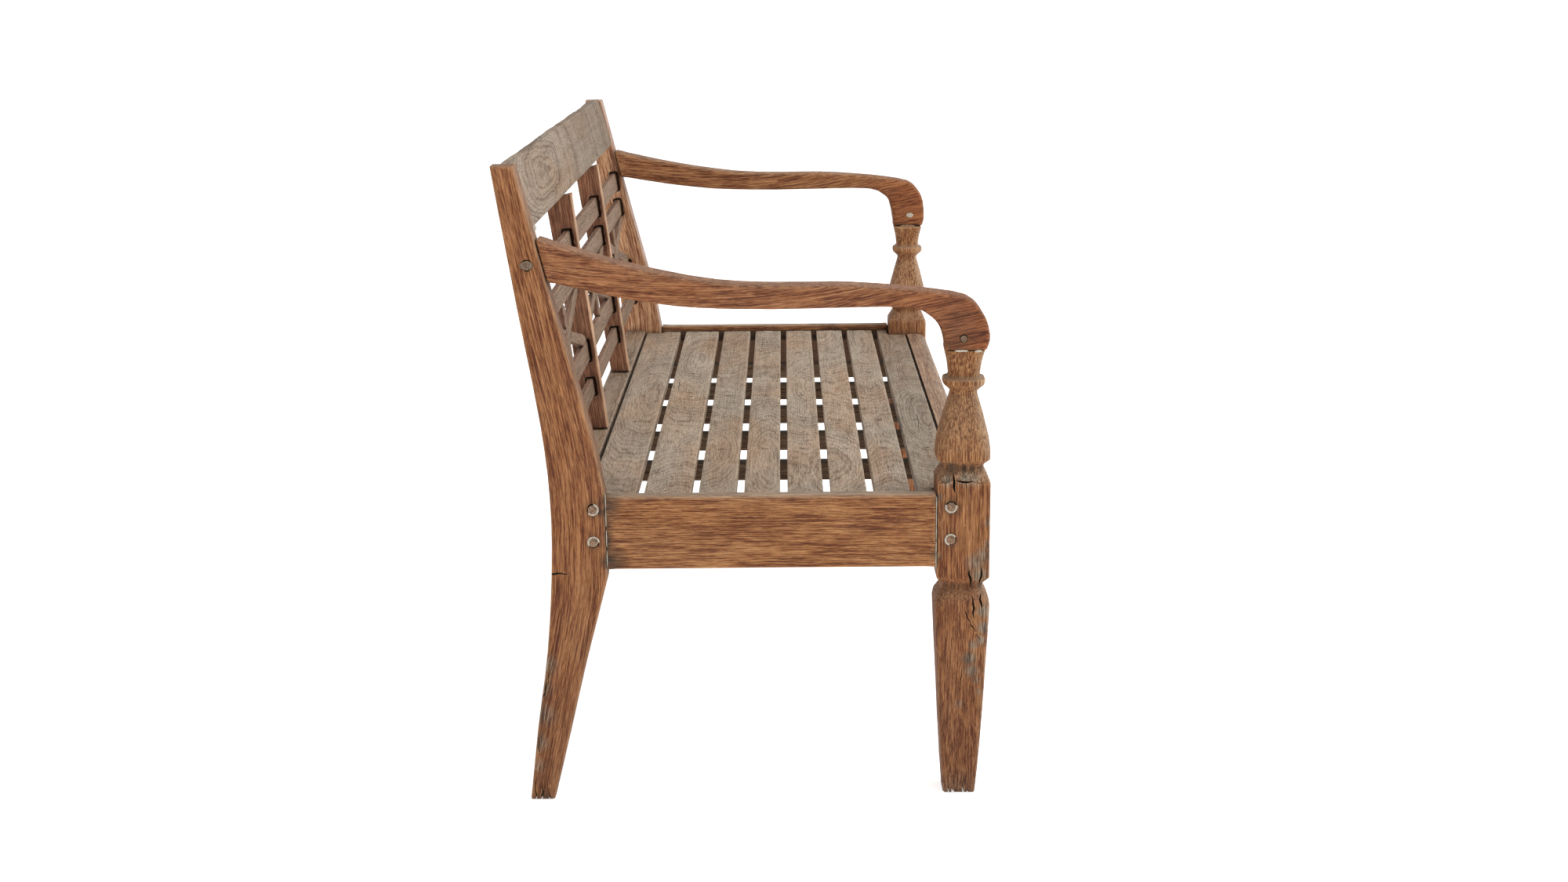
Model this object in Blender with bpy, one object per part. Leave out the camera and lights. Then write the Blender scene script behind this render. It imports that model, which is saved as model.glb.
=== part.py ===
"""Garden bench of hand-worked teak, pegged mortise-and-tenon joinery.

X runs along the seat, -Y is the front where the legs of the sitter hang, +Z is up.
The origin is on the ground under the middle of the bench's box.
Back legs, carved front legs, rails, arms and crest are tenoned and pegged together; the seat is
eight slats on five battens; the back is three bays of lattice between two muntins.
"""
import math

import bmesh
import bpy
from mathutils import Matrix, Vector

# Overall sizes, metres
LENGTH = 1.254          # outside to outside of the legs
DEPTH = 0.6435          # front of the front legs' shoulders to the back of the posts' tops
RAIL_TOP = 0.430        # top of the side rails
BACK_TOP = 0.863        # top of the back posts
ARM_TOP = 0.707         # top of the right arm over its middle

# Fits
FIT = 0.0003            # air between two pieces that touch
ROOT = 0.004            # overlap of a tenon with its own piece before they are joined

# Back legs: one curved plank each
POST_THICK = 0.038      # along X
POST_TOP_DEPTH = 0.031  # front to back at the top
POST_SEAT_DEPTH = 0.074
FOOT_DEPTH = 0.034
BACK_RAKE = 0.103       # how far the post's front leans back from seat to top
FOOT_SPLAY = 0.081      # how far the foot kicks back from the seat to the ground

# Front legs: carved from a square blank
LEG_BLOCK = 0.072
LEG_SHOULDER = LEG_BLOCK + 0.003     # widest part below the neck
LEG_FOOT = 0.045
LEG_RISE = 0.0137       # block above the side rail
LEG_DROP = 0.016        # block below the side rail

# Seat frame
SIDE_RAIL_HEIGHT = 0.101
SIDE_LIP = 0.022        # rail thickness beside the slats
SIDE_LEDGE = 0.0155     # rebate that carries the slat ends
RAIL_RECESS = 0.0012    # side rail behind the legs' outer faces
FRONT_RAIL_THICK = 0.038
REAR_RAIL_THICK = 0.038
LONG_RAIL_HEIGHT = 0.090
REAR_RAIL_RISE = 0.004  # rear rail above the slats

# Seat
SLAT_DROP = 0.010       # slats below the top of the side rails
SLAT_THICK = 0.018
SLAT_WIDTHS = (0.0655, 0.0645, 0.052, 0.0495, 0.0495, 0.0495, 0.0495, 0.053)
SLAT_END_GAP = 0.0015
SLAT_EDGE_GAP = 0.0020  # first and last slat to the long rails
BATTEN_COUNT = 5
BATTEN_PITCH = 0.179
BATTEN_SHIFT = 0.0235               # the set of battens sits off the middle
BATTEN_WIDTH = 0.027
BATTEN_HEIGHT = 0.0275

# Arms
ARM_WIDTH = 0.044
ARM_INSET = 0.006       # arm behind the post's outer face
ARM_HEIGHT = 0.032
ARM_REAR_RISE = 0.061   # right arm's top at the post, above its middle
ARM_DROP = 0.0875       # top of the right arm down to the front leg
LEFT_LIFT = 0.018       # the left arm was cut flatter: its middle sits higher
LEFT_JOINT_LIFT = 0.004

# Back
MUNTIN_SPACING = 0.420
MUNTIN_WIDTH = 0.026
MUNTIN_DEPTH = 0.033    # at the foot
MUNTIN_HEAD_DEPTH = 0.041
MUNTIN_SLOPE = 0.124    # lean of the muntins, metres back per metre up
CREST_THICK = 0.025
CREST_HEIGHT = 0.090
CREST_RISE = 0.007      # crest above the posts' tops
CREST_SETBACK = 0.0015
CREST_SLOPE = 0.253
LATTICE_THICK = 0.011
LATTICE_SETBACK = 0.011
BAR_HOUSING = 0.008     # how deep a bar's end sits in its mortise
BAR_HEIGHTS = (0.027, 0.032, 0.031, 0.034)          # bars from the seat up
BAR_FOOTS = (0.048, 0.101, 0.219, 0.267)            # their lower edges above the side rail
STUB_WIDTH = 0.024
BRACE_WIDTH = 0.019

# Tenons and pegs
SIDE_TENON = (0.011, 0.042, 0.082)      # thickness, length, height
LONG_TENON = (0.014, 0.018, 0.052)
ARM_TENON = (0.012, 0.028, 0.034)
LEG_TENON = (0.024, 0.030)              # side, height of the stub on the front leg
CREST_TENON = (0.010, 0.016, 0.056)
MUNTIN_TENON = (0.012, 0.016, 0.020)
BATTEN_TENON = (0.012, 0.012, 0.016)
STUB_TENON = 0.007
PEG_DIAMETER = 0.0125
ARM_PEG_DIAMETER = 0.009
PEG_PROUD = 0.0008
PEG_SIDES = 16

# Places worked out from the sizes
HALF = LENGTH / 2
POST_Y = DEPTH / 2 - POST_TOP_DEPTH - BACK_RAKE     # front of the post at the seat
POST_IN = HALF - POST_THICK
LEG_Y = -DEPTH / 2 + max(LEG_BLOCK, LEG_SHOULDER) / 2
FRONT_Y = LEG_Y - LEG_BLOCK / 2                     # front of the leg blocks and front rail
LEG_X = HALF - LEG_BLOCK / 2
LEG_BACK_Y = FRONT_Y + LEG_BLOCK
JOINT_Z = {"right": ARM_TOP - ARM_DROP, "left": ARM_TOP - ARM_DROP + LEFT_JOINT_LIFT}
ARM_Z = {"right": ARM_TOP, "left": ARM_TOP + LEFT_LIFT}
ARM_RISE = {"right": ARM_REAR_RISE, "left": ARM_REAR_RISE - LEFT_LIFT}
SLAT_TOP = RAIL_TOP - SLAT_DROP
SLAT_BOTTOM = SLAT_TOP - SLAT_THICK
REAR_TOP = SLAT_TOP + REAR_RAIL_RISE
RAIL_X = HALF - RAIL_RECESS             # outer face of a side rail
SEAT_X = RAIL_X - SIDE_LIP              # inner face of a side rail's lip
ARM_X = HALF - ARM_INSET - ARM_WIDTH / 2
BACK_RISE = BACK_TOP - RAIL_TOP
MUNTIN_Y = POST_Y + 0.032               # front of the muntins at the side rails' top
REAR_RAIL_Y = MUNTIN_Y - 0.0015
FRONT_RAIL_Y = FRONT_Y + FRONT_RAIL_THICK


# ---------------------------------------------------------------- tools

def material(name, colour, roughness):
    """One Principled finish."""
    found = bpy.data.materials.get(name)
    if found:
        return found
    made = bpy.data.materials.new(name)
    made.use_nodes = True
    shader = made.node_tree.nodes["Principled BSDF"]
    shader.inputs["Base Color"].default_value = (*colour, 1.0)
    shader.inputs["Roughness"].default_value = roughness
    shader.inputs["Metallic"].default_value = 0.0
    made.diffuse_color = (*colour, 1.0)
    return made


LEG_WOOD = material("leg_teak", (0.36, 0.17, 0.075), 0.60)
RAIL_WOOD = material("rail_teak", (0.37, 0.19, 0.09), 0.62)
SLAT_WOOD = material("slat_teak", (0.36, 0.28, 0.20), 0.75)
CREST_WOOD = material("crest_teak", (0.35, 0.28, 0.21), 0.75)
ARM_WOOD = material("arm_teak", (0.33, 0.14, 0.06), 0.55)
LATTICE_WOOD = material("lattice_teak", (0.33, 0.22, 0.14), 0.75)
BATTEN_WOOD = material("batten_teak", (0.16, 0.08, 0.04), 0.80)
PEG_WOOD = material("peg_teak", (0.26, 0.10, 0.045), 0.60)


def make_object(name, bm, finish=None):
    """Turn a bmesh into an object with its faces pointing out."""
    bmesh.ops.recalc_face_normals(bm, faces=bm.faces)
    mesh = bpy.data.meshes.new(name)
    bm.to_mesh(mesh)
    bm.free()
    obj = bpy.data.objects.new(name, mesh)
    bpy.context.scene.collection.objects.link(obj)
    if finish:
        mesh.materials.append(finish)
    return obj


def box(name, low, high, finish=None, round_by=0.0, segments=2, place=None):
    """A box between two corners, its edges rounded, optionally moved by a matrix."""
    bm = bmesh.new()
    bmesh.ops.create_cube(bm, size=1.0)
    low, high = Vector(low), Vector(high)
    for vert in bm.verts:
        vert.co = Vector(low[i] + (vert.co[i] + 0.5) * (high[i] - low[i]) for i in range(3))
    if round_by:
        bmesh.ops.bevel(bm, geom=list(bm.edges), offset=round_by, segments=segments,
                        profile=0.5, affect="EDGES", clamp_overlap=True)
    if place:
        bmesh.ops.transform(bm, matrix=place, verts=bm.verts)
    return make_object(name, bm, finish)


def prism(name, outline, start, end, axis, finish=None, round_by=0.0, place=None):
    """A closed outline pushed along axis 0 (outline is y, z) or axis 1 (outline is x, z)."""
    bm = bmesh.new()

    def point(along, pair):
        return (along, *pair) if axis == 0 else (pair[0], along, pair[1])

    near = bm.faces.new([bm.verts.new(point(start, pair)) for pair in outline])
    grown = bmesh.ops.extrude_face_region(bm, geom=[near])
    shift = [0.0, 0.0, 0.0]
    shift[axis] = end - start
    bmesh.ops.translate(bm, vec=shift,
                        verts=[g for g in grown["geom"] if isinstance(g, bmesh.types.BMVert)])
    bmesh.ops.recalc_face_normals(bm, faces=bm.faces)
    if round_by:
        rims = [e for e in bm.edges if abs(e.verts[0].co[axis] - e.verts[1].co[axis]) < 1e-6]
        bmesh.ops.bevel(bm, geom=rims, offset=round_by, segments=2, profile=0.5,
                        affect="EDGES", clamp_overlap=True)
    if place:
        bmesh.ops.transform(bm, matrix=place, verts=bm.verts)
    return make_object(name, bm, finish)


def rod(name, x_out, x_in, y, z, diameter, finish=None, dome=0.0):
    """A round peg along X with its outer rim eased."""
    bm = bmesh.new()
    rings = [(x_in, diameter / 2), (x_out - math.copysign(dome, x_out), diameter / 2)]
    if dome:
        rings.append((x_out, diameter / 2 - dome))
    loops = []
    for x, radius in rings:
        turn = [2 * math.pi * (k + 0.5) / PEG_SIDES for k in range(PEG_SIDES)]
        loops.append([bm.verts.new((x, y + radius * math.cos(a), z + radius * math.sin(a)))
                      for a in turn])
    bm.faces.new(loops[0])
    bm.faces.new(loops[-1])
    for lower, upper in zip(loops, loops[1:]):
        for k in range(PEG_SIDES):
            following = (k + 1) % PEG_SIDES
            bm.faces.new([lower[k], lower[following], upper[following], upper[k]])
    return make_object(name, bm, finish)


def combine(obj, others, operation):
    """Cut the others from obj, or join them to it, and keep the result as obj's own mesh."""
    for other in others:
        step = obj.modifiers.new(operation.title(), "BOOLEAN")
        step.operation = operation
        step.solver = "EXACT"
        step.object = other
        graph = bpy.context.evaluated_depsgraph_get()
        result = bpy.data.meshes.new_from_object(obj.evaluated_get(graph))
        obj.modifiers.clear()
        obj.data = result
        bpy.data.objects.remove(other, do_unlink=True)
    return obj


def cut(obj, *others):
    return combine(obj, others, "DIFFERENCE")


def join(obj, *others):
    return combine(obj, others, "UNION")


def tenon(male, female, low, high, axis, sign, place=None):
    """Put a tenon on one piece and its mortise in the other.

    low and high bound the part of the tenon inside the female piece; it points along
    sign * axis, and both solids reach back by ROOT to meet the male piece.
    """
    low, high = list(low), list(high)
    grown_low = [v - FIT for v in low]
    grown_high = [v + FIT for v in high]
    if sign > 0:
        low[axis] -= ROOT
        grown_low[axis] -= ROOT
    else:
        high[axis] += ROOT
        grown_high[axis] += ROOT
    join(male, box("tenon", low, high, place=place))
    cut(female, box("mortise", grown_low, grown_high, place=place))


def smooth(points, steps=3):
    """A curve through the points, with the given number of steps from one to the next."""
    points = [Vector(p) for p in points]
    ends = [2 * points[0] - points[1], *points, 2 * points[-1] - points[-2]]
    curve = []
    for a, b, c, d in zip(ends, ends[1:], ends[2:], ends[3:]):
        for k in range(steps):
            t = k / steps
            curve.append(0.5 * ((2 * b) + (c - a) * t + (2 * a - 5 * b + 4 * c - d) * t * t
                                + (3 * b - a - 3 * c + d) * t ** 3))
    curve.append(points[-1])
    return [tuple(p) for p in curve]


# ---------------------------------------------------------------- back legs

def post_front():
    """Front edge of a back leg from the ground to the top, as (y, z) pairs."""
    lower = [(POST_Y + FOOT_SPLAY * s, RAIL_TOP * h)
             for s, h in ((1.0, 0.0), (0.72, 0.21), (0.42, 0.44), (0.16, 0.62))]
    knee = [(POST_Y, RAIL_TOP - SIDE_RAIL_HEIGHT - 0.014), (POST_Y, RAIL_TOP)]
    upper = [(POST_Y + BACK_RAKE * s, RAIL_TOP + BACK_RISE * h)
             for s, h in ((0.150, 0.19), (0.515, 0.53), (1.0, 1.0))]
    return smooth(lower + knee[:1], 3) + smooth(knee[1:] + upper, 3)


def post_back():
    """Back edge of a back leg from the top down to the ground."""
    upper = [(POST_Y + BACK_RAKE + POST_TOP_DEPTH, BACK_TOP),
             (POST_Y + 0.67 * BACK_RAKE + 0.029 + 0.010, RAIL_TOP + 0.60 * BACK_RISE),
             (POST_Y + POST_SEAT_DEPTH + 0.009, RAIL_TOP + 0.23 * BACK_RISE),
             (POST_Y + POST_SEAT_DEPTH, RAIL_TOP)]
    lower = [(POST_Y + POST_SEAT_DEPTH + 0.001, 0.77 * RAIL_TOP),
             (POST_Y + 0.5 * FOOT_SPLAY + FOOT_DEPTH + 0.010, 0.50 * RAIL_TOP),
             (POST_Y + 0.76 * FOOT_SPLAY + FOOT_DEPTH + 0.006, 0.24 * RAIL_TOP),
             (POST_Y + FOOT_SPLAY + FOOT_DEPTH, 0.0)]
    return smooth(upper + lower, 3)


def post_outline(shift=0.0):
    return [(y + shift, z) for y, z in post_front() + post_back()]


def back_leg(side, name):
    return prism(name, post_outline(), side * HALF, side * POST_IN, 0, LEG_WOOD, 0.003)


# ---------------------------------------------------------------- front legs

def rounded_square(half, radius, corner_steps=4):
    """Points around a square of half-width `half` with rounded corners."""
    radius = min(radius, half * 0.98)
    points = []
    for quarter in range(4):
        centre = Matrix.Rotation(quarter * math.pi / 2, 2) @ Vector((half - radius, half - radius))
        for k in range(corner_steps + 1):
            angle = quarter * math.pi / 2 + k / corner_steps * math.pi / 2
            points.append((centre.x + radius * math.cos(angle),
                           centre.y + radius * math.sin(angle)))
    return points


def leg_stations(joint):
    """(height, half-width, corner radius) up a front leg."""
    block = LEG_BLOCK / 2
    shoulder = LEG_SHOULDER / 2
    low = RAIL_TOP - SIDE_RAIL_HEIGHT - LEG_DROP
    high = RAIL_TOP + LEG_RISE
    turned = joint - high

    cut_down = low - 0.040              # where the taper to the foot starts

    def taper(share):
        return LEG_FOOT / 2 + (shoulder - LEG_FOOT / 2) * share ** 0.8

    foot = [(cut_down * share, taper(share), 0.006) for share in (0.0, 0.15, 0.37, 0.62, 0.84)]
    neck = [(cut_down, shoulder, 0.010), (low - 0.030, shoulder - 0.0012, 0.014),
            (low - 0.023, shoulder - 0.005, 0.014), (low - 0.0165, block * 0.80, 0.014),
            (low - 0.011, block * 0.80, 0.012)]
    body = [(low, block, 0.003), (high, block, 0.003),
            (high + 0.100 * turned, block * 0.76, 0.010),
            (high + 0.125 * turned, block * 0.76, 0.010),
            (high + 0.165 * turned, block * 1.01, 0.016),
            (high + 0.235 * turned, block * 1.01, 0.018),
            (high + 0.34 * turned, block * 0.94, 0.018),
            (high + 0.50 * turned, block * 0.74, 0.015),
            (high + 0.62 * turned, block * 0.57, 0.012),
            (high + 0.672 * turned, block * 0.50, 0.010)]
    ring = [(high + 0.686 * turned, block * 0.54, 0.012), (high + 0.722 * turned, block * 0.75, 0.018),
            (high + 0.738 * turned, block * 0.79, 0.019), (high + 0.772 * turned, block * 0.79, 0.019),
            (high + 0.781 * turned, block * 0.74, 0.018)]
    cone = [(high + 0.787 * turned, block * 0.57, 0.010), (high + 0.90 * turned, block * 0.64, 0.010),
            (joint, block * 0.76, 0.010)]
    return foot + neck + body + ring + cone


def front_leg(side, name, joint):
    bm = bmesh.new()
    loops = []
    for z, half, radius in leg_stations(joint):
        loops.append([bm.verts.new((side * LEG_X + x, LEG_Y + y, z))
                      for x, y in rounded_square(half, radius)])
    bm.faces.new(loops[0])
    bm.faces.new(loops[-1])
    count = len(loops[0])
    for lower, upper in zip(loops, loops[1:]):
        for k in range(count):
            bm.faces.new([lower[k], lower[(k + 1) % count], upper[(k + 1) % count], upper[k]])
    return make_object(name, bm, LEG_WOOD)


# ---------------------------------------------------------------- seat frame

def side_rail(side, name):
    """L-shaped rail: the lip stands beside the slats, the ledge carries their ends."""
    bottom = RAIL_TOP - SIDE_RAIL_HEIGHT
    ledge_top = SLAT_BOTTOM - FIT
    outline = [(side * x, z) for x, z in (
        (RAIL_X, bottom), (SEAT_X - SIDE_LEDGE, bottom), (SEAT_X - SIDE_LEDGE, ledge_top),
        (SEAT_X, ledge_top), (SEAT_X, RAIL_TOP - 0.002), (SEAT_X + 0.002, RAIL_TOP),
        (RAIL_X - 0.003, RAIL_TOP), (RAIL_X, RAIL_TOP - 0.003))]
    return prism(name, outline, LEG_BACK_Y + FIT, POST_Y - FIT, 1, RAIL_WOOD)


def front_rail():
    """Seat rail with a round nose, between the front legs."""
    ends = LEG_X - LEG_BLOCK / 2 - FIT
    nose = 0.016
    arc = [(FRONT_Y + nose * (1 - math.cos(a)), SLAT_TOP - nose * (1 - math.sin(a)))
           for a in (k * math.pi / 10 for k in range(6))]
    outline = arc + [(FRONT_RAIL_Y, SLAT_TOP), (FRONT_RAIL_Y, SLAT_TOP - LONG_RAIL_HEIGHT),
                     (FRONT_Y, SLAT_TOP - LONG_RAIL_HEIGHT)]
    return prism("front_rail", outline, -ends, ends, 0, RAIL_WOOD)


def rear_rail():
    ends = POST_IN - FIT
    return box("rear_rail", (-ends, REAR_RAIL_Y, REAR_TOP - LONG_RAIL_HEIGHT),
               (ends, REAR_RAIL_Y + REAR_RAIL_THICK, REAR_TOP), SLAT_WOOD, 0.002)


# ---------------------------------------------------------------- seat

def batten_places():
    return [BATTEN_SHIFT + (k - (BATTEN_COUNT - 1) / 2) * BATTEN_PITCH for k in range(BATTEN_COUNT)]


def batten(x, name):
    return box(name, (x - BATTEN_WIDTH / 2, FRONT_RAIL_Y + FIT, SLAT_BOTTOM - FIT - BATTEN_HEIGHT),
               (x + BATTEN_WIDTH / 2, REAR_RAIL_Y - FIT, SLAT_BOTTOM - FIT), BATTEN_WOOD, 0.0015, 1)


def slat_places():
    """(back edge, front edge) of each slat, spread evenly from the rear rail to the front."""
    start = REAR_RAIL_Y - SLAT_EDGE_GAP
    room = start - (FRONT_RAIL_Y + SLAT_EDGE_GAP)
    gap = (room - sum(SLAT_WIDTHS)) / (len(SLAT_WIDTHS) - 1)
    places = []
    for width in SLAT_WIDTHS:
        places.append((start, start - width))
        start -= width + gap
    return places


def slat(back, front, name):
    """A slat between the side rails, notched where it meets a leg."""
    ends = SEAT_X - SLAT_END_GAP
    obj = box(name, (-ends, front, SLAT_BOTTOM), (ends, back, SLAT_TOP), SLAT_WOOD, 0.002)
    tall = (SLAT_BOTTOM - 0.01, SLAT_TOP + 0.01)
    for side in (-1, 1):
        if back > POST_Y - FIT:
            x = sorted((side * (POST_IN - SLAT_END_GAP), side * (HALF + 0.01)))
            cut(obj, box("notch", (x[0], POST_Y - SLAT_END_GAP, tall[0]),
                         (x[1], back + 0.01, tall[1])))
        if front < LEG_BACK_Y + FIT:
            x = sorted((side * (LEG_X - LEG_BLOCK / 2 - SLAT_END_GAP), side * (HALF + 0.01)))
            cut(obj, box("notch", (x[0], front - 0.01, tall[0]),
                         (x[1], LEG_BACK_Y + SLAT_END_GAP, tall[1])))
    return obj


# ---------------------------------------------------------------- arms

def arm_outline(top_z, rise, joint):
    """Side view of an arm as (y, z): over the top to the front, then back underneath."""
    reach = POST_Y - LEG_Y
    low_z = top_z - ARM_HEIGHT
    joint_half = LEG_BLOCK / 2 * 0.75
    top = [(LEG_Y + reach * s, top_z + rise * h) for s, h in
           ((1.25, 1.14), (1.161, 1.0), (1.013, 0.64), (0.852, 0.31), (0.682, 0.07),
            (0.53, 0.0), (0.35, 0.0))]
    top += [(LEG_Y + reach * 0.208, top_z - 0.004), (LEG_Y + reach * 0.085, top_z - 0.010)]
    nose = [(LEG_Y - 0.002, top_z - 0.018), (LEG_Y - 0.020, top_z - 0.034),
            (LEG_Y - 0.030, top_z - 0.055), (LEG_Y - joint_half - 0.005, joint + 0.012),
            (LEG_Y - joint_half, joint + FIT)]
    under = [(LEG_Y + joint_half, joint + FIT), (LEG_Y + joint_half + 0.002, joint + 0.015),
             (LEG_Y + joint_half + 0.009, low_z - 0.022), (LEG_Y + joint_half + 0.022, low_z - 0.009),
             (LEG_Y + 0.072, low_z), (LEG_Y + reach * 0.30, low_z + 0.001)]
    rear = [(LEG_Y + reach * s, low_z + rise * h) for s, h in
            ((0.53, -0.01), (0.73, 0.03), (0.845, 0.13), (0.968, 0.30), (1.137, 0.61), (1.25, 0.84))]
    return smooth(top + nose, 2) + smooth(under + rear, 2)


def arm(side, word, name):
    """An arm whose rear end lies against the raked front of its post."""
    outline = arm_outline(ARM_Z[word], ARM_RISE[word], JOINT_Z[word])
    obj = prism(name, outline, side * ARM_X - ARM_WIDTH / 2, side * ARM_X + ARM_WIDTH / 2,
                0, ARM_WOOD, 0.005)
    clearance = prism("post_clearance", post_outline(-FIT), side * (ARM_X - ARM_WIDTH),
                      side * (ARM_X + ARM_WIDTH), 0)
    inside_post = POST_Y + BACK_RAKE * (ARM_TOP - RAIL_TOP) / BACK_RISE + 0.8 * POST_TOP_DEPTH
    behind = box("behind", (side * ARM_X - ARM_WIDTH, inside_post, ARM_TOP - 0.1),
                 (side * ARM_X + ARM_WIDTH, DEPTH / 2 + 0.1, BACK_TOP))
    return cut(obj, clearance, behind)


# ---------------------------------------------------------------- back

def leaning(y, z, slope):
    """Matrix for parts drawn upright: x along the bench, y the depth, z up the slope."""
    return Matrix.Translation((0.0, y, z)) @ Matrix.Rotation(-math.atan(slope), 4, "X")


LATTICE = leaning(MUNTIN_Y, RAIL_TOP, MUNTIN_SLOPE)
CREST_BOTTOM = BACK_TOP + CREST_RISE - CREST_HEIGHT
CREST = leaning(POST_Y + BACK_RAKE + CREST_SETBACK - CREST_SLOPE * (BACK_TOP - CREST_BOTTOM),
                CREST_BOTTOM, CREST_SLOPE)
CREST_UP = CREST_HEIGHT * math.sqrt(1 + CREST_SLOPE ** 2)       # its height along its own slope


def crest():
    """Top rail, leaning with the posts."""
    ends = POST_IN - FIT
    return box("top_rail", (-ends, 0.0, 0.0), (ends, CREST_THICK, CREST_UP), CREST_WOOD,
               0.004, 2, CREST)


def muntin(x, name):
    """Upright between the rear rail and the crest, its shoulders cut level at the foot."""
    foot, head = REAR_TOP + FIT, CREST_BOTTOM - 0.006

    def edge(depth, z):
        return (MUNTIN_Y + depth + MUNTIN_SLOPE * (z - RAIL_TOP), z)

    outline = [edge(0.0, foot), edge(0.0, head + 0.014), edge(MUNTIN_HEAD_DEPTH, head + 0.014),
               edge(MUNTIN_DEPTH, foot)]
    obj = prism(name, outline, x - MUNTIN_WIDTH / 2, x + MUNTIN_WIDTH / 2, 0, LATTICE_WOOD, 0.002)
    over = box("over", (x - 0.05, -0.05, -FIT), (x + 0.05, 0.08, 0.06), place=CREST)
    return cut(obj, over)


def bays():
    """(left, right) faces that each bay of the lattice runs between, and the bay's name."""
    faces = [-POST_IN, -MUNTIN_SPACING / 2 - MUNTIN_WIDTH / 2, -MUNTIN_SPACING / 2 + MUNTIN_WIDTH / 2]
    faces += [-x for x in reversed(faces)]
    return list(zip(("right", "middle", "left"), faces[0::2], faces[1::2]))


def clip(points, axis, limit, keep):
    """The part of a convex outline on one side of a line across the given axis."""
    kept = []
    for a, b in zip(points, points[1:] + points[:1]):
        inside_a, inside_b = (a[axis] - limit) * keep >= 0, (b[axis] - limit) * keep >= 0
        if inside_a:
            kept.append(a)
        if inside_a != inside_b:
            t = (limit - a[axis]) / (b[axis] - a[axis])
            kept.append(tuple(a[i] + t * (b[i] - a[i]) for i in range(2)))
    return kept


def brace_outline(left, right, low, high, rising, grow=0.0, long=0.0):
    """A diagonal bar from corner to corner of a bay, its ends cut to the corner."""
    centre = Vector(((left + right) / 2, (low + high) / 2))
    along = Vector((right - left, (high - low) * rising)).normalized()
    across = Vector((-along.y, along.x)) * (BRACE_WIDTH / 2 + grow)
    reach = along * (right - left)
    band = [tuple(centre + s * reach + t * across) for s, t in ((-1, -1), (1, -1), (1, 1), (-1, 1))]
    for axis, limit, keep in ((0, left - long, 1), (0, right + long, -1),
                              (1, low - long, 1), (1, high + long, -1)):
        band = clip(band, axis, limit, keep)
    return band


def lattice_bay(bay, left, right, low_ends, high_ends):
    """Four bars, an upright stub and two crossed braces, lapped in thirds at the crossing."""
    front, back = LATTICE_SETBACK, LATTICE_SETBACK + LATTICE_THICK
    bars = []
    for k, (foot, height) in enumerate(zip(BAR_FOOTS, BAR_HEIGHTS), 1):
        low = (left - BAR_HOUSING, front, foot)
        high = (right + BAR_HOUSING, back, foot + height)
        bars.append(box(f"bar_{bay}_{k}", low, high, LATTICE_WOOD, 0.0015, 1, LATTICE))
        grown = [v - FIT for v in low], [v + FIT for v in high]
        for holder in (low_ends, high_ends):
            cut(holder, box("housing", *grown, place=LATTICE))
    low = BAR_FOOTS[1] + BAR_HEIGHTS[1] + FIT
    high = BAR_FOOTS[2] - FIT
    middle = (left + right) / 2
    third = LATTICE_THICK / 3
    inner = left + FIT, right - FIT
    half = STUB_WIDTH / 2

    stub = box(f"stub_{bay}", (middle - half, front, low), (middle + half, back, high),
               LATTICE_WOOD, place=LATTICE)
    slot = (middle - half + 0.005, front + 0.003), (middle + half - 0.005, back - 0.003)
    tenon(stub, bars[1], (*slot[0], low - STUB_TENON), (*slot[1], low), 2, -1, LATTICE)
    tenon(stub, bars[2], (*slot[0], high), (*slot[1], high + STUB_TENON), 2, 1, LATTICE)

    def brace(name, rising, y0, y1, grow=0.0, long=0.0):
        outline = brace_outline(*inner, low, high, rising, grow, long)
        return prism(name, outline, y0, y1, 1, None if grow else LATTICE_WOOD, place=LATTICE)

    rise = brace(f"brace_{bay}_rising", 1, front, back)
    fall = brace(f"brace_{bay}_falling", -1, front, back)
    for rising in (1, -1):
        cut(stub, brace("lap", rising, front + third, back + 0.002, FIT, 0.02))
    cut(rise, box("lap", (middle - half - FIT, front - 0.002, low - 0.01),
                  (middle + half + FIT, front + third + FIT, high + 0.01), place=LATTICE),
        brace("lap", -1, back - third, back + 0.002, FIT, 0.02))
    cut(fall, box("lap", (middle - half - FIT, front - 0.002, low - 0.01),
                  (middle + half + FIT, front + third + FIT, high + 0.01), place=LATTICE),
        brace("lap", 1, front - 0.002, back - third + FIT, FIT, 0.02))


# ---------------------------------------------------------------- assembly

def pin(name, side, out, into, y, z, diameter, pieces):
    """A peg driven in along X through every listed piece."""
    for piece in pieces:
        cut(piece, rod("hole", side * (HALF + 0.02), side * (into - FIT), y, z, diameter + 2 * FIT))
    rod(name, side * out, side * into, y, z, diameter, PEG_WOOD, 0.0008)


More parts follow.
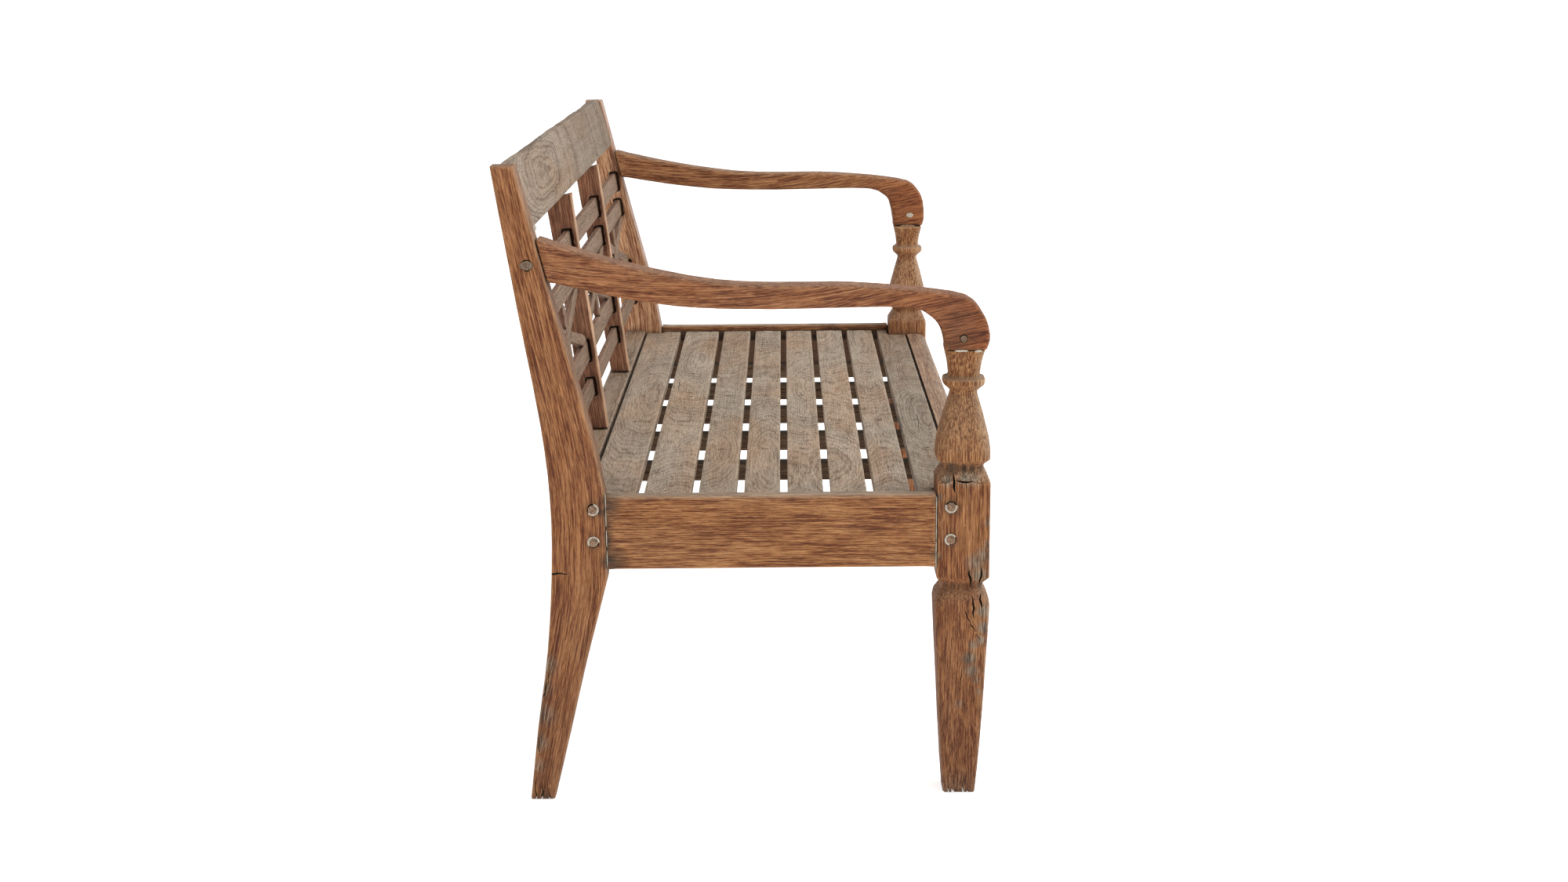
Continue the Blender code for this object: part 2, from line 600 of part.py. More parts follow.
def build_side(side, word, legs, posts):
    """One end of the bench: both legs, side rail, arm and their pegs."""
    post = posts[word] = back_leg(side, f"back_leg_{word}")
    leg = legs[word] = front_leg(side, f"front_leg_{word}", JOINT_Z[word])
    rail = side_rail(side, f"side_rail_{word}")
    rest = arm(side, word, f"arm_{word}")
    joint = JOINT_Z[word]

    thick, length, height = SIDE_TENON
    x = sorted((side * (RAIL_X - 0.0055), side * (RAIL_X - 0.0055 - thick)))
    z = RAIL_TOP - 0.007 - height, RAIL_TOP - 0.007
    tenon(rail, post, (x[0], POST_Y, z[0]), (x[1], POST_Y + length, z[1]), 1, 1)
    tenon(rail, leg, (x[0], LEG_BACK_Y - length, z[0]), (x[1], LEG_BACK_Y, z[1]), 1, -1)

    thick, length, height = ARM_TENON
    lean = BACK_RAKE / BACK_RISE
    z0 = ARM_TOP + ARM_REAR_RISE - 0.012 - height
    y0 = POST_Y + lean * (z0 - RAIL_TOP)
    x = side * (HALF - POST_THICK / 2)
    tenon(rest, post, (x - thick / 2, y0 - 0.004, z0),
          (x + thick / 2, y0 + length, z0 + height), 1, 1)

    stem, rise = LEG_TENON
    x = side * LEG_X
    tenon(leg, rest, (x - stem / 2, LEG_Y - stem / 2, joint),
          (x + stem / 2, LEG_Y + stem / 2, joint + rise), 2, 1)

    for k, drop in enumerate((0.018, 0.063), 1):
        z = RAIL_TOP - drop
        pin(f"peg_back_leg_{word}_{k}", side, HALF + PEG_PROUD, HALF - 0.026, POST_Y + 0.017, z,
            PEG_DIAMETER, (post, rail))
        pin(f"peg_front_leg_{word}_{k}", side, HALF + PEG_PROUD, HALF - 0.026, LEG_BACK_Y - 0.019, z,
            PEG_DIAMETER, (leg, rail))
    z = z0 + height * 0.42
    pin(f"peg_arm_rear_{word}", side, HALF + PEG_PROUD, POST_IN + 0.006,
        POST_Y + lean * (z - RAIL_TOP) + 0.018, z, PEG_DIAMETER, (post, rest))
    pin(f"peg_arm_front_{word}", side, ARM_X + ARM_WIDTH / 2 + PEG_PROUD, ARM_X - ARM_WIDTH / 2 + 0.008,
        LEG_Y + 0.003, joint + 0.016, ARM_PEG_DIAMETER, (rest, leg))


def build():
    legs, posts = {}, {}
    for side, word in ((-1, "right"), (1, "left")):
        build_side(side, word, legs, posts)

    front, rear, top = front_rail(), rear_rail(), crest()
    thick, length, height = LONG_TENON
    for side, word in ((-1, "right"), (1, "left")):
        leg_in = LEG_X - LEG_BLOCK / 2
        y = (FRONT_Y + FRONT_RAIL_Y) / 2
        x = sorted((side * leg_in, side * (leg_in + length)))
        z = SLAT_TOP - 0.022
        tenon(front, legs[word], (x[0], y - thick / 2, z - height), (x[1], y + thick / 2, z), 0, side)
        y = REAR_RAIL_Y + REAR_RAIL_THICK / 2
        x = sorted((side * POST_IN, side * (POST_IN + length)))
        z = REAR_TOP - 0.022
        tenon(rear, posts[word], (x[0], y - thick / 2, z - height), (x[1], y + thick / 2, z), 0, side)
        wide, deep, tall = CREST_TENON
        x = sorted((side * POST_IN, side * (POST_IN + deep)))
        tenon(top, posts[word], (x[0], CREST_THICK / 2 - wide / 2, 0.020),
              (x[1], CREST_THICK / 2 + wide / 2, 0.020 + tall), 0, side, CREST)

    thick, length, height = BATTEN_TENON
    for k, x in enumerate(batten_places(), 1):
        piece = batten(x, f"batten_{k}")
        z = SLAT_BOTTOM - BATTEN_HEIGHT / 2
        tenon(piece, front, (x - thick / 2, FRONT_RAIL_Y - length, z - height / 2),
              (x + thick / 2, FRONT_RAIL_Y, z + height / 2), 1, -1)
        tenon(piece, rear, (x - thick / 2, REAR_RAIL_Y, z - height / 2),
              (x + thick / 2, REAR_RAIL_Y + length, z + height / 2), 1, 1)

    for k, (back, nose) in enumerate(slat_places(), 1):
        slat(back, nose, f"slat_{k}")

    thick, length, wide = MUNTIN_TENON
    uprights = []
    for side, word in ((-1, "right"), (1, "left")):
        x = side * MUNTIN_SPACING / 2
        piece = muntin(x, f"muntin_{word}")
        uprights.append(piece)
        y = MUNTIN_Y + MUNTIN_DEPTH / 2
        tenon(piece, rear, (x - wide / 2, y - thick / 2, REAR_TOP - length),
              (x + wide / 2, y + thick / 2, REAR_TOP), 2, -1)
        tenon(piece, top, (x - wide / 2, CREST_THICK / 2 - 0.004, 0.0),
              (x + wide / 2, CREST_THICK / 2 + 0.004, length), 2, 1, CREST)

    holders = [posts["right"], uprights[0], uprights[1], posts["left"]]
    for k, (bay, left, right) in enumerate(bays()):
        lattice_bay(bay, left, right, holders[k], holders[k + 1])


for old in list(bpy.data.objects):
    bpy.data.objects.remove(old, do_unlink=True)
build()
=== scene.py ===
# %% [markdown]
# # A pegged teak garden bench, worn by years outside
#
# The joiner's model gives every piece of the bench its place and its size, with crisp edges and
# plain colours. This lesson turns those clean blanks into old wood: edges rubbed round, surfaces
# that wander by a millimetre, drying splits, whittled pegs set in putty, and iron nails.
# The first step loads the joiner's model.

# %% Load the joiner's model
import math
from contextlib import contextmanager
from functools import partial

import bpy
import numpy as np
from mathutils import Euler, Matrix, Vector


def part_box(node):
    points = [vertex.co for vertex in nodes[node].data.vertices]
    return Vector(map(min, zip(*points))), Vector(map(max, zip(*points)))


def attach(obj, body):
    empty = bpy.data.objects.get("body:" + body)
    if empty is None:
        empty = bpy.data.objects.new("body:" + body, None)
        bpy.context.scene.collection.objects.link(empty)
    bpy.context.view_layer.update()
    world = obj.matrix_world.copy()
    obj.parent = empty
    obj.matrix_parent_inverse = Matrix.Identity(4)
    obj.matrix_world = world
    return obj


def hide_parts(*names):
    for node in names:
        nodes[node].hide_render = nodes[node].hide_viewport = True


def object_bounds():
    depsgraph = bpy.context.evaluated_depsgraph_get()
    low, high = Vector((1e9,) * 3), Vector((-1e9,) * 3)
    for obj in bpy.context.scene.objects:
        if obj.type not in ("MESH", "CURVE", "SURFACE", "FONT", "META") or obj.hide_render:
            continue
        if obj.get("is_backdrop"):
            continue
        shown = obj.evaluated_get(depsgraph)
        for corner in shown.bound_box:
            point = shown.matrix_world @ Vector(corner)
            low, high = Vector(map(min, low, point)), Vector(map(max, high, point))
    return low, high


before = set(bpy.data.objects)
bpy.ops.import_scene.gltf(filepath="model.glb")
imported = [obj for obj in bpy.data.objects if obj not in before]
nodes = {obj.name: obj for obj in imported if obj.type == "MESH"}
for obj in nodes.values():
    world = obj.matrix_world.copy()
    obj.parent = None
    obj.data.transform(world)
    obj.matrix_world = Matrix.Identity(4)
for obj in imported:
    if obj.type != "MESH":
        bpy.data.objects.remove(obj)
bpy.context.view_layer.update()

# %% [markdown]
# ## Floor, light and camera
#
# The bench stands on a white floor that glows a little, like a light table, so that the gaps in
# the seat read as white. The sky is an even soft white. One large lamp, high up and in front of the
# bench, lights the seat and the front faces more than the ends, so the legs and arms are modelled.

# %% Floor, sky and lamp
FLOOR_REACH = 150.0
FLOOR_GLOW = 0.64
SKY_GLOW = 0.80
LAMP_PLACE, LAMP_AIM = (-1.0, -3.0, 3.6), (0.0, 0.0, 0.4)
LAMP_SIZE, LAMP_POWER = 2.2, 105.0


def select_only(piece):
    """Make this object the only selected one, and the active one."""
    bpy.ops.object.select_all(action="DESELECT")
    piece.select_set(True)
    bpy.context.view_layer.objects.active = piece


def primitive(kind, name, **settings):
    """Add one of Blender's primitives, with nothing else selected."""
    bpy.ops.object.select_all(action="DESELECT")
    getattr(bpy.ops.mesh, f"primitive_{kind}_add")(**settings)
    made = bpy.context.active_object
    made.name = name
    return made


floor = primitive("plane", "floor", size=FLOOR_REACH)
paint = bpy.data.materials.new("floor_paint")
paint.use_nodes = True
coat = paint.node_tree.nodes["Principled BSDF"]
coat.inputs["Base Color"].default_value = (0.86, 0.86, 0.86, 1.0)
coat.inputs["Roughness"].default_value = 0.9
coat.inputs["Specular IOR Level"].default_value = 0.1
coat.inputs["Emission Color"].default_value = (1.0, 1.0, 1.0, 1.0)
coat.inputs["Emission Strength"].default_value = FLOOR_GLOW
floor.data.materials.append(paint)
floor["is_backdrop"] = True

sky = bpy.data.worlds.new("studio")
bpy.context.scene.world = sky
sky.use_nodes = True
sky.node_tree.nodes["Background"].inputs["Color"].default_value = (1.0, 1.0, 1.0, 1.0)
sky.node_tree.nodes["Background"].inputs["Strength"].default_value = SKY_GLOW
bpy.context.scene.view_settings.view_transform = "Standard"

light = bpy.data.lights.new("soft_box", "AREA")
light.size = LAMP_SIZE
light.energy = LAMP_POWER
lamp = bpy.data.objects.new("soft_box", light)
bpy.context.scene.collection.objects.link(lamp)
lamp.location = LAMP_PLACE
lamp.rotation_euler = (Vector(LAMP_AIM) - Vector(LAMP_PLACE)).to_track_quat("-Z", "Y").to_euler()
print("floor, sky and one soft box")

# %% Camera
CAMERA_PLACE = (-3.0578, -0.0512, 1.1055)
CAMERA_TURN = (76.088, 0.465, -90.040)      # degrees: tilt, roll and heading
SENSOR, LENS = 36.0, 44.1

camera = bpy.data.objects.new("camera", bpy.data.cameras.new("camera"))
bpy.context.scene.collection.objects.link(camera)
camera.location = CAMERA_PLACE
camera.rotation_euler = Euler([math.radians(a) for a in CAMERA_TURN])
camera.data.sensor_width = SENSOR
camera.data.lens = LENS
bpy.context.scene.camera = camera
print("camera at the bench's right end")

# %% [markdown]
# ## Teak, old and grey
#
# Wood is a stack of thin cones wrapped round the middle of the tree. Cut near the middle it shows
# straight stripes; cut far from it, arches and ovals. Each piece carries an attribute named
# `grain`: how far along the board a point is, how far across it, and how deep. The material
# measures the distance to the tree's middle from it and lays the year rings there, so the figure
# runs through the board and round its edges. Four more attributes say where grime has gathered
# and where painted shadow lies round the pegs (`dirt_and_shade`), where rain has rotted the wood
# (`worn`), how far the tree's middle lies from the face (`lift`), and what colour to multiply by (`tint`).

# %% Small helpers for node trees
def add(tree, kind, inputs=None, out=0, **settings):
    """Add a node, set it, feed it, and give back one of its outputs."""
    made = tree.nodes.new(kind)
    for key, value in settings.items():
        setattr(made, key, value)
    for key, value in (inputs or {}).items():
        if isinstance(value, bpy.types.NodeSocket):
            tree.links.new(value, made.inputs[key])
        else:
            made.inputs[key].default_value = value
    return made.outputs[out]


def calc(tree, operation, *values):
    """One step of arithmetic."""
    return add(tree, "ShaderNodeMath", dict(enumerate(values)), operation=operation)


def scaled(tree, vector, factors):
    """A vector stretched along its three directions."""
    return add(tree, "ShaderNodeVectorMath", {0: vector, 1: factors}, operation="MULTIPLY")


def cloud(tree, vector, factors, detail=3.0, rough=0.55, out=0):
    """Noise stretched along the grain."""
    return add(tree, "ShaderNodeTexNoise",
               {"Vector": scaled(tree, vector, factors), "Scale": 1.0, "Detail": detail,
                "Roughness": rough}, out)


def ramp(tree, factor, stops):
    """Colours along a value. Each stop is a place and a colour or a grey."""
    made = tree.nodes.new("ShaderNodeValToRGB")
    tree.links.new(factor, made.inputs[0])
    scale = made.color_ramp
    while len(scale.elements) < len(stops):
        scale.elements.new(0.5)
    for element, (place, colour) in zip(scale.elements, stops):
        element.position = place
        element.color = (colour,) * 3 + (1.0,) if isinstance(colour, float) else (*colour, 1.0)
    return made.outputs[0]


def mix(tree, factor, a, b, mode="MIX"):
    """Two colours together."""
    return add(tree, "ShaderNodeMix", {0: factor, 6: a if not isinstance(a, tuple) else (*a, 1.0),
                                       7: b if not isinstance(b, tuple) else (*b, 1.0)}, 2,
               data_type="RGBA", blend_type=mode, clamp_factor=True)


print("helpers ready")


# %% The teak material
def times(colour, share):
    """A colour made darker or paler."""
    return tuple(min(1.0, c * share) for c in colour)


def teak(name, tones, grey, heart=(0.0, 0.09), ring=0.0032, wander=0.03, ring_share=0.35,
         streak_share=0.45, sky_grey=0.5, front_grey=0.3, spread_grey=0.25, roughness=0.62,
         relief=0.0007, blush=None, inner_unweathered_and_shade=0.0, damp=1.0):
    """Old teak. tones are its dark, middle and pale colours, grey the colour it weathers to,
    heart the middle of the tree seen from the board, and ring the distance between two years.
    blush is a colour that comes through in patches, inner_unweathered_and_shade how dark the sides turned in
    below the seat and the undersides are painted, as unweathered wood and as painted shade, and damp how dark
    the foot is."""
    material = bpy.data.materials.new(name)
    material.use_nodes = True
    tree = material.node_tree
    shader = tree.nodes["Principled BSDF"]
    grain, tint = (add(tree, "ShaderNodeAttribute", attribute_name=word, out=1)
                   for word in ("grain", "tint"))
    dirt_and_shade, worn, lift = (add(tree, "ShaderNodeAttribute", attribute_name=word, out=2)
                        for word in ("dirt_and_shade", "worn", "lift"))
    do = partial(calc, tree)
    noise = partial(cloud, tree, grain)
    shade = partial(ramp, tree)
    blend = partial(mix, tree)

    def veil(along, across, low, high, detail=4.0, rough=0.65):
        """Noise that runs along the board, 0 where it is under low and 1 where it is over high."""
        return shade(noise((along, across, across), detail, rough), ((low, 0.0), (high, 1.0)))

    # year rings, round a middle that wanders along the board
    drift = add(tree, "ShaderNodeSeparateColor", {0: noise((2.6, 11.0, 11.0), 2.0, 0.45, 1)}).node.outputs
    place = add(tree, "ShaderNodeSeparateXYZ", {0: grain}).node.outputs
    across = do("MULTIPLY_ADD", drift[0], wander, place[1])
    across = do("SUBTRACT", across, heart[0] + wander / 2)
    deep = do("MULTIPLY_ADD", drift[1], wander * 1.6, place[2])
    deep = do("ADD", do("ADD", deep, lift), heart[1] - wander * 0.8)
    radius = do("SQRT", do("ADD", do("MULTIPLY", across, across), do("MULTIPLY", deep, deep)))
    radius = do("MULTIPLY_ADD", noise((28.0, 70.0, 70.0), 3.0, 0.6), ring * 1.8, radius)
    count = do("DIVIDE", radius, ring)
    years = shade(do("FRACT", count), ((0.0, 0.05), (0.14, 0.80), (0.62, 1.0), (0.90, 0.35), (1.0, 0.05)))
    year = add(tree, "ShaderNodeCombineXYZ",
               {0: do("MULTIPLY", count, 0.45), 1: do("MULTIPLY", place[0], 2.0)})
    good_years = shade(add(tree, "ShaderNodeTexNoise", {"Vector": year, "Scale": 1.0, "Detail": 2.0}),
                       ((0.36, 0.15), (0.60, 1.0)))
    years = do("MULTIPLY_ADD", good_years, 0.45, do("MULTIPLY", years, 0.55))

    # fibres and pores, which run along the board
    streaks = veil(17.0, 600.0, 0.40, 0.60, rough=0.75)
    dashes = veil(50.0, 1000.0, 0.50, 0.62, detail=2.0, rough=0.6)
    fibres = veil(60.0, 1400.0, 0.34, 0.66, detail=3.0)
    pores = veil(90.0, 1200.0, 0.58, 0.66, detail=1.0, rough=0.55)
    bands = veil(4.5, 75.0, 0.36, 0.66, rough=0.62)
    blotch = veil(16.0, 42.0, 0.36, 0.66)

    value = do("MULTIPLY", years, ring_share)
    for layer, share in ((streaks, streak_share), (bands, 0.16), (blotch, 0.18), (dashes, 0.26),
                         (fibres, 0.16)):
        value = do("MULTIPLY_ADD", layer, share, value)
    value = do("SUBTRACT", value, 0.14 + (ring_share + streak_share - 0.6) * 0.5)
    dark, middle, pale = tones
    colour = shade(value, ((0.12, times(dark, 0.62)), (0.30, dark), (0.52, middle), (0.86, pale)))

    # grey where sky, sun and rain reach
    facing = add(tree, "ShaderNodeSeparateXYZ", {0: add(tree, "ShaderNodeNewGeometry", out=1)}).node.outputs
    up = do("MULTIPLY", do("MAXIMUM", facing[2], 0.0), sky_grey)
    front = do("MULTIPLY", do("MAXIMUM", do("MULTIPLY", facing[1], -1.0), 0.0), front_grey)
    patch = veil(6.0, 24.0, 0.35, 0.70)
    greyed = do("ADD", do("MULTIPLY", patch, spread_grey), do("ADD", up, front))
    silver = shade(value, ((0.20, times(grey, 0.62)), (0.50, grey), (0.85, times(grey, 1.28))))
    colour = blend(greyed, colour, silver)
    rot = shade(value, ((0.25, ROT[0]), (0.48, ROT[1]), (0.75, ROT[2])))
    colour = blend(do("MULTIPLY", worn, do("MULTIPLY_ADD", patch, 0.7, 0.55)), colour, rot)
    spot = add(tree, "ShaderNodeSeparateXYZ", {0: add(tree, "ShaderNodeTexCoord", out=3)}).node.outputs
    if damp < 1:
        foot = shade(spot[2], ((0.0, damp), (DAMP_HEIGHT, 1.0)))
        colour = blend(1.0, colour, foot, "MULTIPLY")
    if blush:
        warm = shade(noise((3.4, 9.0, 9.0), 3.0, 0.55), ((0.42, 0.0), (0.62, 0.75)))
        colour = blend(warm, colour, blush, "MULTIPLY")
    # sides turned towards the bench's middle below the seat, and undersides, are darkened: partly unweathered
    # wood, partly painted shade under the seat
    if inner_unweathered_and_shade:
        turned = do("ADD", do("MULTIPLY", facing[0], do("SIGN", spot[0])),
                    do("MULTIPLY", facing[1], do("SIGN", spot[1])))
        hidden = shade(do("MULTIPLY", turned, -1.0), ((0.45, 0.0), (0.75, inner_unweathered_and_shade)))
        under = shade(do("MULTIPLY", facing[2], -1.0), ((0.45, 0.0), (0.75, inner_unweathered_and_shade)))
        hidden = do("MULTIPLY", hidden, do("LESS_THAN", spot[2], SLAT_TOP))
        colour = blend(do("MAXIMUM", hidden, under), colour, UNWEATHERED_AND_SHADE)

    colour = scaled(tree, colour, tint)

    # rubbed edges; corners and creases darkened by grime and by painted shade (ambient occlusion); pores
    edge = add(tree, "ShaderNodeNewGeometry", out=7)
    rub = shade(edge, ((0.515, 0.0), (0.56, 1.0)))
    colour = blend(do("MULTIPLY", rub, 0.42), colour, times(pale, 1.35))
    hollow = shade(edge, ((0.40, 1.0), (0.485, 0.0)))
    # painted shade: ambient occlusion darkens creases and joints, mixed below with grime
    occlusion_shade = shade(add(tree, "ShaderNodeAmbientOcclusion", {"Distance": 0.014}, samples=6, out=1),
                 ((0.25, 1.0), (0.78, 0.0)))
    # grime, and painted shadow round the pegs, from the dirt_and_shade attribute
    smear = do("MULTIPLY", dirt_and_shade, do("MULTIPLY_ADD", patch, 0.8, 0.45))
    soil_and_shade = do("MAXIMUM", smear, do("MULTIPLY", do("MAXIMUM", hollow, occlusion_shade), 0.75))
    colour = blend(soil_and_shade, colour, SOIL_AND_SHADE)
    colour = blend(do("MULTIPLY", pores, 0.42), colour, PORE)
    tree.links.new(colour, shader.inputs["Base Color"])

    shine = shade(value, ((0.2, min(1.0, roughness + 0.16)), (0.8, roughness - 0.06)))
    tree.links.new(shine, shader.inputs["Roughness"])
    shader.inputs["Specular IOR Level"].default_value = 0.28
    height = do("MULTIPLY_ADD", years, 0.5, do("MULTIPLY", fibres, 0.55))
    height = do("MULTIPLY_ADD", streaks, 0.45, height)
    height = do("MULTIPLY_ADD", pores, -0.5, height)
    bump = add(tree, "ShaderNodeBump", {"Height": height, "Distance": relief, "Strength": 0.9})
    tree.links.new(bump, shader.inputs["Normal"])
    return material


ORANGE = ((0.140, 0.036, 0.010), (0.300, 0.117, 0.037), (0.475, 0.232, 0.092))
RED = ((0.122, 0.028, 0.008), (0.280, 0.098, 0.032), (0.44, 0.195, 0.080))
TAN = ((0.33, 0.225, 0.155), (0.55, 0.420, 0.315), (0.74, 0.60, 0.46))
CREST = ((0.23, 0.150, 0.098), (0.41, 0.305, 0.225), (0.56, 0.44, 0.33))
BROWN = ((0.075, 0.024, 0.010), (0.165, 0.060, 0.029), (0.29, 0.145, 0.080))
STICK = ((0.16, 0.080, 0.042), (0.32, 0.180, 0.105), (0.50, 0.36, 0.25))
# the battens' tones: painted shade, as they stand in the shade under the seat
UNDER_SEAT_SHADE = ((0.035, 0.016, 0.007), (0.085, 0.048, 0.026), (0.14, 0.09, 0.05))
SILVER = (0.42, 0.335, 0.255)
ASH = (0.31, 0.22, 0.155)
DUST = (0.34, 0.225, 0.145)
MOSS = (0.20, 0.165, 0.115)
ROT = ((0.055, 0.038, 0.025), (0.20, 0.155, 0.110), (0.41, 0.35, 0.27))
# colour of the sides under the seat: unweathered teak with painted shade
UNWEATHERED_AND_SHADE = (0.075, 0.042, 0.025)
# colour of grime and of painted shade in creases and joints
SOIL_AND_SHADE = (0.035, 0.024, 0.016)
PORE = (0.10, 0.045, 0.022)
SLAT_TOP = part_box("slat_1")[1].z
DAMP_HEIGHT = 0.38      # how high the wet ground darkens a leg

looks = {
    "leg": dict(tones=ORANGE, grey=DUST, heart=(0.25, 0.05), ring=0.0045, wander=0.02,
                ring_share=0.22, streak_share=0.55, sky_grey=0.55, front_grey=0.55, spread_grey=0.10,
                damp=0.72),
    "rail": dict(tones=ORANGE, grey=SILVER, heart=(0.25, 0.03), ring=0.0045, wander=0.02,
                 ring_share=0.20, streak_share=0.55, sky_grey=0.75, front_grey=0.3, spread_grey=0.05,
                 inner_unweathered_and_shade=0.9),
    "front_rail": dict(tones=ORANGE, grey=SILVER, heart=(0.10, 0.06), sky_grey=0.40,
                       front_grey=0.45, spread_grey=0.2, inner_unweathered_and_shade=0.9),
    "arm": dict(tones=RED, grey=DUST, heart=(0.16, 0.04), ring=0.004, wander=0.03,
                ring_share=0.25, streak_share=0.60, sky_grey=0.3, front_grey=0.15, spread_grey=0.10,
                roughness=0.56),
    "slat": dict(tones=TAN, grey=SILVER, heart=(0.0, 0.014), ring=0.0040, wander=0.022,
                 ring_share=0.54, streak_share=0.16, sky_grey=0.25, front_grey=0.2,
                 spread_grey=0.50, roughness=0.7, relief=0.0018, blush=(1.0, 0.80, 0.66)),
    "crest": dict(tones=CREST, grey=SILVER, heart=(0.0, 0.018), ring=0.0044, wander=0.030,
                  ring_share=0.80, streak_share=0.08, sky_grey=0.3, front_grey=0.25,
                  spread_grey=0.3, roughness=0.7, relief=0.0018, blush=(0.95, 0.80, 0.66)),
    "muntin": dict(tones=BROWN, grey=(0.54, 0.365, 0.255), heart=(0.15, 0.05), sky_grey=0.4,
                   front_grey=0.95, spread_grey=0.12, roughness=0.68),
    "lattice": dict(tones=BROWN, grey=ASH, heart=(0.05, 0.05), sky_grey=0.4,
                    front_grey=0.80, spread_grey=0.35, roughness=0.7),
    "batten": dict(tones=UNDER_SEAT_SHADE, grey=MOSS, heart=(0.1, 0.05), sky_grey=0.55,
                   front_grey=0.1, spread_grey=0.2, roughness=0.8),
    "peg": dict(tones=STICK, grey=MOSS, heart=(0.0, 0.0), ring=0.002, sky_grey=0.1,
                front_grey=0.1, spread_grey=0.2),
}
finishes = {slot: teak(f"old_teak_{slot}", **look) for slot, look in looks.items()}
print("finishes:", ", ".join(finishes))


# %% Painted shade inside a split, putty and iron
def plain(name, low, high, roughness, metallic=0.0, size=240.0):
    """A finish that varies between two colours at random."""
    material = bpy.data.materials.new(name)
    material.use_nodes = True
    tree = material.node_tree
    shader = tree.nodes["Principled BSDF"]
    where = add(tree, "ShaderNodeTexCoord", out=3)
    speck = cloud(tree, where, (size,) * 3, 4.0, 0.7)
    tree.links.new(ramp(tree, speck, ((0.35, low), (0.65, high))), shader.inputs["Base Color"])
    shader.inputs["Roughness"].default_value = roughness
    shader.inputs["Metallic"].default_value = metallic
    bump = add(tree, "ShaderNodeBump", {"Height": speck, "Distance": 0.0006, "Strength": 0.8})
    tree.links.new(bump, shader.inputs["Normal"])
    return material


# the inside of a split is painted near black, as the shade deep in the gap
split_shade = plain("shade_inside_a_split", (0.010, 0.006, 0.004), (0.05, 0.026, 0.014), 0.9)
putty = plain("grey_putty", (0.30, 0.26, 0.205), (0.60, 0.55, 0.46), 0.75, size=420.0)
peg_putty = plain("old_filler", (0.085, 0.050, 0.030), (0.20, 0.140, 0.095), 0.8, size=260.0)
iron = plain("rusty_iron", (0.012, 0.009, 0.008), (0.07, 0.045, 0.035), 0.6, 0.4, size=600.0)
print("split, putty and iron")

# %% [markdown]
# ## From blank to old wood
#
# A copy of the joiner's piece is merged into one skin and rebuilt as a fine even grid, which loses
# the knife-sharp edges as years of hands do. A smoothing pass rounds them, and slow noise,
# stretched along the grain, sinks the surface by a millimetre or so. It only ever sinks, so a
# piece stays inside the joiner's size and clear of its neighbours.

# %% Copy, rebuild, round and sink
ripple = bpy.data.textures.new("ripple", "CLOUDS")
ripple.noise_scale = 1.0
ripple.noise_depth = 2
stretcher = bpy.data.objects.new("stretcher", None)
bpy.context.scene.collection.objects.link(stretcher)
# the surface wanders in three sizes: length along the grain, length across it, share of the depth
WAVES = ((0.22, 0.035, 1.0), (0.060, 0.012, 0.45), (0.030, 0.004, 0.22))


@contextmanager
def editing(everything=False):
    """Edit the active mesh: its selected part, or everything."""
    bpy.ops.object.mode_set(mode="EDIT")
    if everything:
        bpy.ops.mesh.select_all(action="SELECT")
    yield
    bpy.ops.object.mode_set(mode="OBJECT")


def blank(node):
    """A copy of the joiner's piece, its loose triangles merged into one skin."""
    piece = bpy.data.objects.new(f"old_{node}", nodes[node].data.copy())
    bpy.context.scene.collection.objects.link(piece)
    piece.data.materials.clear()
    select_only(piece)
    with editing(everything=True):
        bpy.ops.mesh.remove_doubles(threshold=0.00001)
    return piece


def apply_all(piece):
    """Apply every modifier, in order."""
    select_only(piece)
    for modifier in list(piece.modifiers):
        bpy.ops.object.modifier_apply(modifier=modifier.name)


def bake(piece):
    """Put a piece's place, turn and scale into its mesh."""
    select_only(piece)
    bpy.ops.object.transform_apply(location=True, rotation=True, scale=True)


def join(parts):
    """Make one object of several. It keeps the first one's name."""
    select_only(parts[0])
    for part in parts:
        part.select_set(True)
    bpy.ops.object.join()


def subtract(piece, cutter, solver, materials="INDEX"):
    """Take a cutter out of a piece, and away."""
    step = piece.modifiers.new("cut", "BOOLEAN")
    step.operation = "DIFFERENCE"
    step.solver = solver
    step.material_mode = materials
    step.object = cutter
    apply_all(piece)
    bpy.data.objects.remove(cutter, do_unlink=True)


def sink(piece, stretch, turn, depth, number):
    """Sink the surface by slow noise that is stretched as told."""
    stretcher.scale = stretch
    stretcher.rotation_euler = turn
    stretcher.location = (number * 0.37, number * 0.21, number * 0.13)
    bpy.context.view_layer.update()
    step = piece.modifiers.new("sink", "DISPLACE")
    step.texture = ripple
    step.texture_coords = "OBJECT"
    step.texture_coords_object = stretcher
    step.mid_level = 1.0
    step.strength = depth
    apply_all(piece)


def points(piece):
    """The places of a mesh's points."""
    places = np.empty(len(piece.data.vertices) * 3, np.float32)
    piece.data.vertices.foreach_get("co", places)
    return places.reshape(-1, 3).astype(float)


def away_from(axis, place, reach):
    """How free each point is to move: not at all at a joint, wholly a little further off."""
    return lambda places: np.clip((np.abs(places[:, axis] - place) - reach * 0.3) / reach, 0, 1)


def ends(axis, low, high, reach, tenon=0.0):
    """Both ends of a piece are joints."""
    return [away_from(axis, low[axis] + tenon, reach), away_from(axis, high[axis] - tenon, reach)]


def move(piece, places):
    """Put a mesh's points in their new places."""
    piece.data.vertices.foreach_set("co", np.ascontiguousarray(places, np.float32).ravel())
    piece.data.update()


